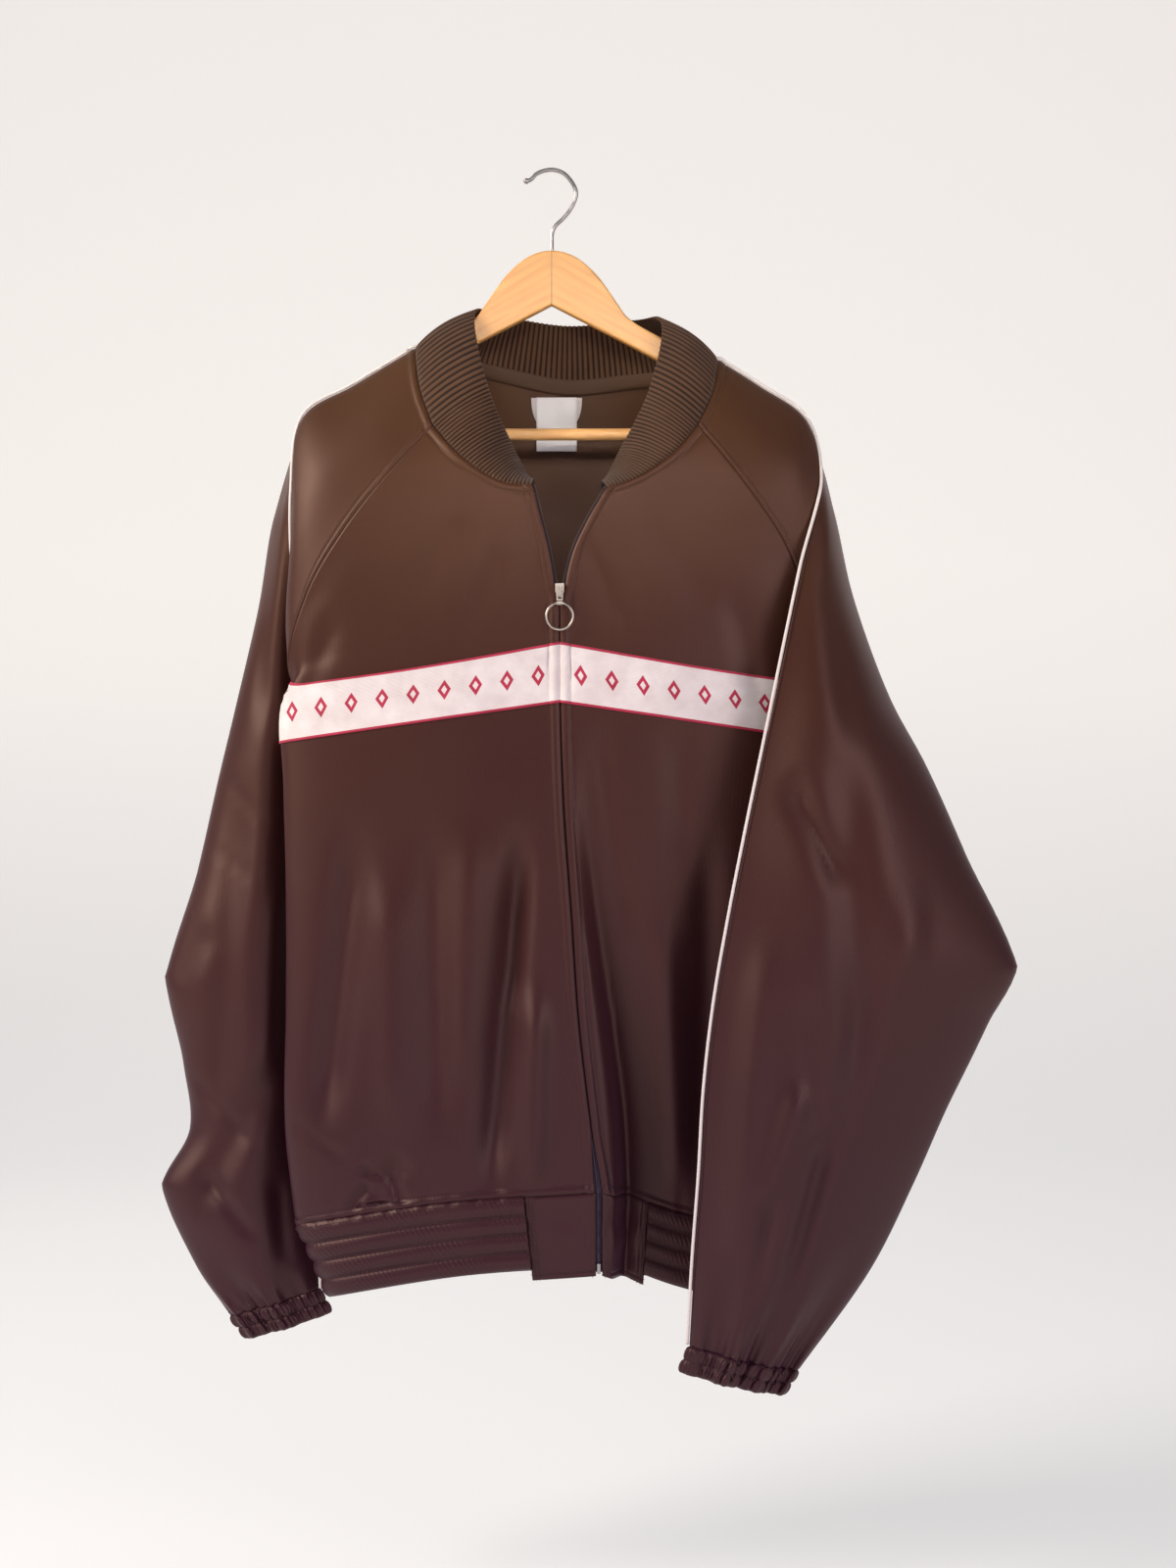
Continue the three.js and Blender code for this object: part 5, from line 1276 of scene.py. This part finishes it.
def solidBoxes(name, boxes, bevel, material, body, node):  # boxes: x0, x1, y0, y1, z0, z1
    work = bmesh.new()
    for x0, x1, y0, y1, z0, z1 in boxes:
        places = [(x * mm, y * mm, z * mm) for z in (z0, z1) for y in (y0, y1) for x in (x0, x1)]
        corners = [work.verts.new(place) for place in places]
        for quad in ((0, 2, 3, 1), (4, 5, 7, 6), (0, 1, 5, 4), (2, 6, 7, 3), (0, 4, 6, 2), (1, 3, 7, 5)):
            work.faces.new([corners[k] for k in quad])
    mesh = bpy.data.meshes.new(name)
    work.to_mesh(mesh)
    work.free()
    mesh.materials.append(material)
    piece = placed(name, mesh)
    rounding = piece.modifiers.new("rounding", "BEVEL")
    rounding.width = bevel * mm
    rounding.segments = 3
    smoothShaded(mesh)
    piece.modifiers.new("weights", "WEIGHTED_NORMAL")
    return carry(piece, body, node)


pull = {
    "pivot": (7.4, -65.6, -359.5), "length": 9.8, "ring": 11, "wire": 1.0, "eye": (2.3, 1.5), "eyeHalf": 2.2,
}
px, py, pz = pull["pivot"]
face = py + 2.4
solidBoxes("zipSlider", [
    (px - 3.7, px + 3.7, face, face + 1.5, pz - 1, pz + 6.5),
    (px - 2.9, px + 2.9, face, face + 1.5, pz - 5.5, pz - 0.2),
    (px - 3.9, px + 3.9, -57.4, -56.2, pz - 5.5, pz + 6.5),
    (px - 0.7, px + 0.7, face + 0.5, -56.9, pz + 3.4, pz + 6.2),
    (px - 0.8, px + 0.8, py - 3.1, face + 0.5, pz + 2.9, pz + 4.3),
    (px - 0.8, px + 0.8, py - 3.1, face + 0.5, pz - 5.2, pz - 3.8),
    (px - 1.1, px + 1.1, py - 3.1, py - 1.7, pz - 5.2, pz + 4.3),
], 0.45, plated, "garment", "zip_slider")
footX, footY, footZ = (zipMiddle()[1][0] + zipMiddle()[2][0]) / 2
solidBoxes("zipEndBox", [
    (footX - 1.6, footX + 1.4, footY - 1.8, footY + 1.4, footZ - 1, footZ + 7.5),
], 0.4, bright, "garment", "zip_end_box")


def makeLink():
    curve = bpy.data.curves.new("zipPullLink", "CURVE")
    curve.dimensions = "2D"
    curve.fill_mode = "BOTH"
    curve.extrude = 0.4 * mm
    curve.bevel_depth = 0.15 * mm
    curve.bevel_resolution = 2
    outline = [
        (-2.3, 0.4), (-2.5, -3), (-2.5, -8.2), (2.5, -8.2), (2.5, -3), (2.3, 0.4), (1.3, 0.75), (-1.3, 0.75),
    ]
    hole = [(-1.3, -0.9), (1.3, -0.9), (1.4, -3), (1.4, -6.6), (-1.4, -6.6), (-1.4, -3)]
    for loop in (outline, hole):
        spline = curve.splines.new("POLY")
        spline.points.add(len(loop) - 1)
        spline.use_cyclic_u = True
        for point, (x, z) in zip(spline.points, loop):
            point.co = (x * mm, z * mm, 0, 1)
    flat = placed("zipPullLinkCurve", curve)
    mesh = bpy.data.meshes.new_from_object(flat.evaluated_get(bpy.context.evaluated_depsgraph_get()))
    bpy.data.objects.remove(flat)
    for vertex in mesh.vertices:
        x, z, y = vertex.co
        vertex.co = (x + px * mm, -y + py * mm, z + pz * mm)
    work = bmesh.new()
    work.from_mesh(mesh)
    # the rolled eye that the ring runs in: outer and inner rim of one end, then of the other
    steps = 24
    rolled = []
    for end in (-pull["eyeHalf"], pull["eyeHalf"]):
        for radius in pull["eye"]:
            for k in range(steps):
                y = py + radius * math.cos(tau * k / steps)
                z = pz - pull["length"] + radius * math.sin(tau * k / steps)
                rolled.append(work.verts.new(((px + end) * mm, y * mm, z * mm)))
    a, b, c, d = (steps * k for k in range(4))
    for k in range(steps):
        m = (k + 1) % steps
        for first, second in ((a, b), (d, c), (c, a), (b, d)):
            work.faces.new([rolled[first + k], rolled[first + m], rolled[second + m], rolled[second + k]])
    bmesh.ops.remove_doubles(work, verts=work.verts, dist=1e-6)
    bmesh.ops.recalc_face_normals(work, faces=work.faces)
    work.to_mesh(mesh)
    work.free()
    mesh.materials.clear()
    mesh.materials.append(plated)
    carry(placed("zipPullLink", mesh), "pull_link", "zip_pull_link")


makeLink()
ringAngles = np.linspace(0, tau, 96, endpoint=False)
ringX = px + pull["ring"] * np.sin(ringAngles)
ringZ = pz - pull["length"] - pull["ring"] + pull["ring"] * np.cos(ringAngles)
ringPath = np.stack([ringX, np.full(len(ringAngles), py), ringZ], axis=1)
carry(tube("zipPullRing", ringPath, pull["wire"], 16, plated, closed=True), "pull_ring", "zip_pull_ring")

# inside the back neck
neck = {
    "labelX": (-14, 21), "labelTop": -184, "labelTall": 46, "loopHalf": 22, "loopWide": 6, "loopDrop": 30,
    "behind": 3.1, "wall": 0.7,
}


def backPoint(x, z, lift):
    grid = panels["back"]["grid"]
    near = grid.reshape(-1, 3)
    x, z = np.atleast_1d(x), np.atleast_1d(z)
    y = []
    for a, b in zip(x.ravel(), z.ravel()):
        gap = (near[:, 0] - a) ** 2 + (near[:, 2] - b) ** 2
        close = np.argpartition(gap, 12)[:12]
        weight = 1 / (gap[close] + 4)
        y.append((near[close, 1] * weight).sum() / weight.sum())
    return np.stack([x, np.reshape(y, x.shape) - lift, z], axis=-1)


def insidePiece(name, node, x, z, lift, material, flat, wall=neck["wall"]):
    grid = backPoint(x, z, lift)
    piece = meshObject(name, grid, gridFaces(*grid.shape[:2], 1), material, gridUv(grid))
    shell(piece, wall)
    carry(piece, "garment", node)
    area = round(min(gridArea(grid) * 1.02, flat[0] * flat[1]), 6)


def makeNeckFinish():
    backs = {side: sleeves[side]["back"] for side in ("right", "left")}
    grids = [backs["right"][:5, ::2], panels["back"]["grid"][::-1][:5], backs["left"][:5, ::-2]]
    edge = np.concatenate([grid[0] for grid in grids])
    down = unit(np.concatenate([grid[4] - grid[0] for grid in grids]))
    out = np.cross(np.gradient(edge, axis=0), down)
    out = unit(np.stack([evened(out[:, k], 9) for k in range(3)], axis=1))
    out *= np.sign(out[len(out) // 2, 1])
    drops = np.array([-2.4, -1.8, -0.6, 1.5, 3.5, 6, 8.6, 9.6, 10.2])
    puffs = np.array([-0.3, 0, 0.3, 0.5, 0.6, 0.5, 0.3, 0, -0.3])
    tape = edge + down * drops[:, None, None] - out * (neck["behind"] + puffs[:, None, None])
    piece = meshObject("neckTape", tape, gridFaces(*tape.shape[:2], 1), tapeJersey, gridUv(tape))
    shell(piece, neck["wall"])
    carry(piece, "garment", "neck_tape")
    length = round(float(runs(tape, 1)[0, -1]) * mm, 3)
    left, right = neck["labelX"]
    u, v = np.meshgrid(np.linspace(0, 1, 25), np.linspace(1, 0, 31))
    bow = 1.4 * np.sin(math.pi * u) * v + 1.2 * v**2
    insidePiece(
        "neckLabel", "neck_label", left + (right - left) * u, neck["labelTop"] - neck["labelTall"] * v,
        5.2 + bow, satin, (0.036, 0.048), 0.4)
    middle = (left + right) / 2
    angle = np.linspace(0, math.pi, 61)[None, :]
    reach = np.array([neck["loopHalf"] - neck["loopWide"] * k / 6 for k in range(6, -1, -1)])[:, None]
    x = middle - reach * np.cos(angle)
    z = neck["labelTop"] - neck["loopDrop"] * reach / neck["loopHalf"] * np.sin(angle) ** 0.8
    insidePiece("hangLoop", "hang_loop", x, z, 3.4, whiteTape, (0.1, 0.01))


makeNeckFinish()
print("neck finished")

# hanger
hanger = {
    "half": 5.2, "rounding": 1.8, "barRadius": 5, "barHalf": 186, "barZ": -222, "wire": 1.75,
    "slopes": (0.575, 0.55),
}
woodEdge = [(13, -69.2), (25, -75.6), (38, -87.5), (47.3, -99.7), (56.4, -113), (65, -124.2)]
woodTip = [
    (201, -205), (206, -213), (208, -221), (204, -232), (193, -238), (181, -234), (174, -220), (165, -204),
    (88, -159), (30, -128.4), (12, -119.2),
]
hookPath = [
    (-23.7, -7.9), (-17.8, -6.2), (-12.6, -1.1), (-1, 2.2), (9.1, -0.3), (16.1, -7.1), (20.4, -15.5),
    (20.4, -20.6), (16.1, -30.7), (9.4, -39.3), (3.3, -45.2), (0.4, -51), (0, -60), (0, -77),
]


def woodOutline():
    def side(sign, slope):
        end = [(128, -124.2 - slope * 63), (185, -124.2 - slope * 120)]
        return [(sign * x, z) for x, z in woodEdge + end + woodTip]

    right = side(-1, hanger["slopes"][0])[::-1]
    left = side(1, hanger["slopes"][1])
    points = np.array([(0, -113)] + right + [(0, -67)] + left + [(0, -113)], float)
    flat = np.stack([points[:, 0], np.zeros(len(points)), points[:, 1]], axis=1)
    return evenly(flat, np.linspace(0, 1, 421))[:-1][:, [0, 2]]


def makeWood():
    outline = woodOutline()
    ahead = np.roll(outline, -1, axis=0) - outline
    behind = outline - np.roll(outline, 1, axis=0)
    area = (outline[:, 0] * np.roll(outline[:, 1], -1) - outline[:, 1] * np.roll(outline[:, 0], -1)).sum()
    turn = -1 if area > 0 else 1
    normals = unit(ahead) + unit(behind)
    normals = np.stack([-normals[:, 1], normals[:, 0]], axis=1) * turn
    normals /= np.maximum(np.linalg.norm(normals, axis=1, keepdims=True), 1e-6)
    half, rounding = hanger["half"], hanger["rounding"]
    rings = []
    for face, turns in ((-1, np.linspace(0, math.pi / 2, 6)), (1, np.linspace(math.pi / 2, 0, 6))):
        for a in turns:
            y = face * (half - rounding * (1 - math.cos(a)))
            flat = outline - normals * rounding * (1 - math.sin(a))
            rings.append(np.stack([flat[:, 0], np.full(len(flat), y), flat[:, 1]], axis=1))
    grid = np.array(rings)
    rows, columns = grid.shape[:2]
    faces = gridFaces(rows, columns, 1, ring=True)
    faces += [tuple(range(columns)), tuple((rows - 1) * columns + c for c in range(columns))[::-1]]
    piece = meshObject("hangerWood", grid, faces, beech)
    fixNormals(piece)
    for polygon in piece.data.polygons:
        polygon.use_smooth = len(polygon.vertices) == 4
    carry(piece, "garment", "hanger_wood")


makeWood()
barPath = np.array([(x, 0, hanger["barZ"]) for x in np.linspace(-hanger["barHalf"], hanger["barHalf"], 24)])
carry(tube("trouserBar", barPath, hanger["barRadius"], 32, beechBar), "garment", "hanger_bar")
wire = evenly([(x, 0, z) for x, z in hookPath], np.linspace(0, 1, 121))
radii = np.full(len(wire), hanger["wire"])
radii[:4] = [1.2, 2.1, 2.6, 2.3]  # the small bulb that ends the hook
carry(tube("hookWire", wire, radii, 20, bright), "garment", "hanger_hook")
print("hanger made")

# floor, backdrop and light
room = {"floorZ": -1.22, "wallY": 3.6, "half": 6, "bend": 1.2, "top": 5, "glow": 0.56}


def makeRoom():
    wallY, floorZ, radius = room["wallY"], room["floorZ"], room["bend"]
    turns = np.linspace(0, math.pi / 2, 16)
    bend = [(wallY - radius * (1 - math.sin(a)), floorZ + radius * (1 - math.cos(a))) for a in turns]
    profile = [(-room["half"], floorZ)] + bend + [(wallY, room["top"])]
    points = [(x, y, z) for x in (-room["half"], room["half"]) for y, z in profile]
    count = len(profile)
    faces = [(k, count + k, count + k + 1, k + 1) for k in range(count - 1)]
    mesh = bpy.data.meshes.new("paleRoom")
    mesh.from_pydata(points, [], faces)
    smoothShaded(mesh)
    finish = Finish("palePaper", Roughness=0.95, Specular_IOR_Level=0.1, Emission_Strength=room["glow"])
    place = finish.coordinates("Object")
    # painted light on the backdrop: the paper glows, and both its colour and its glow are darker towards the
    # floor and brighter towards the top
    high = finish.math("MULTIPLY_ADD", finish.parts(place)[2], 0.6, 0.75)
    high = finish.math("ADD", high, finish.math("MULTIPLY", finish.noise(place, 0.6, 2), 0.06))
    finish.color(finish.ramp(high, [(0.0, paint(198, 197, 196)), (0.6, paint(208, 205, 200))]))
    glow = finish.ramp(high, [(0.0, paint(216, 216, 216)), (0.6, paint(246, 242, 237))])
    finish.link(glow, finish.shader.inputs["Emission Color"])
    mesh.materials.append(finish.material)
    placed("paleRoom", mesh)


def areaLight(name, place, target, size, power, color, spread=180):
    lamp = bpy.data.lights.new(name, "AREA")
    lamp.shape = "RECTANGLE"
    lamp.size, lamp.size_y = size
    lamp.energy = power
    lamp.color = color
    lamp.spread = math.radians(spread)
    light = placed(name, lamp)
    light.location = place
    light.rotation_euler = (Vector(target) - Vector(place)).to_track_quat("-Z", "Y").to_euler()


makeRoom()
middle = (0.02, 0, -0.5)
areaLight("windowLeft", (-2.1, -1.1, 0.7), middle, (0.9, 1.3), 66, (1.0, 0.94, 0.86))
areaLight("skyRight", (1.9, -2.0, 0.1), middle, (1.2, 1.6), 24, (0.98, 0.9, 1.0))
areaLight("lowFill", (0.2, -2.3, -1.0), (0.02, 0, -0.85), (1.4, 0.5), 3, (0.8, 0.7, 1.0))
areaLight("neckFill", (0.03, -1.3, 0.05), (0.015, 0.03, -0.2), (0.3, 0.24), 0.11, (1.0, 0.96, 0.92), 18)
areaLight("backRim", (-0.8, 1.9, 0.9), middle, (1.6, 1.2), 12, (1.0, 0.98, 0.95))
world = bpy.data.worlds.new("paleSky")
world.use_nodes = True
world.node_tree.nodes["Background"].inputs[0].default_value = (0.9, 0.87, 1.0, 1)
world.node_tree.nodes["Background"].inputs[1].default_value = 0.22
bpy.context.scene.world = world
bpy.context.scene.view_settings.view_transform = "Standard"
print("lit")
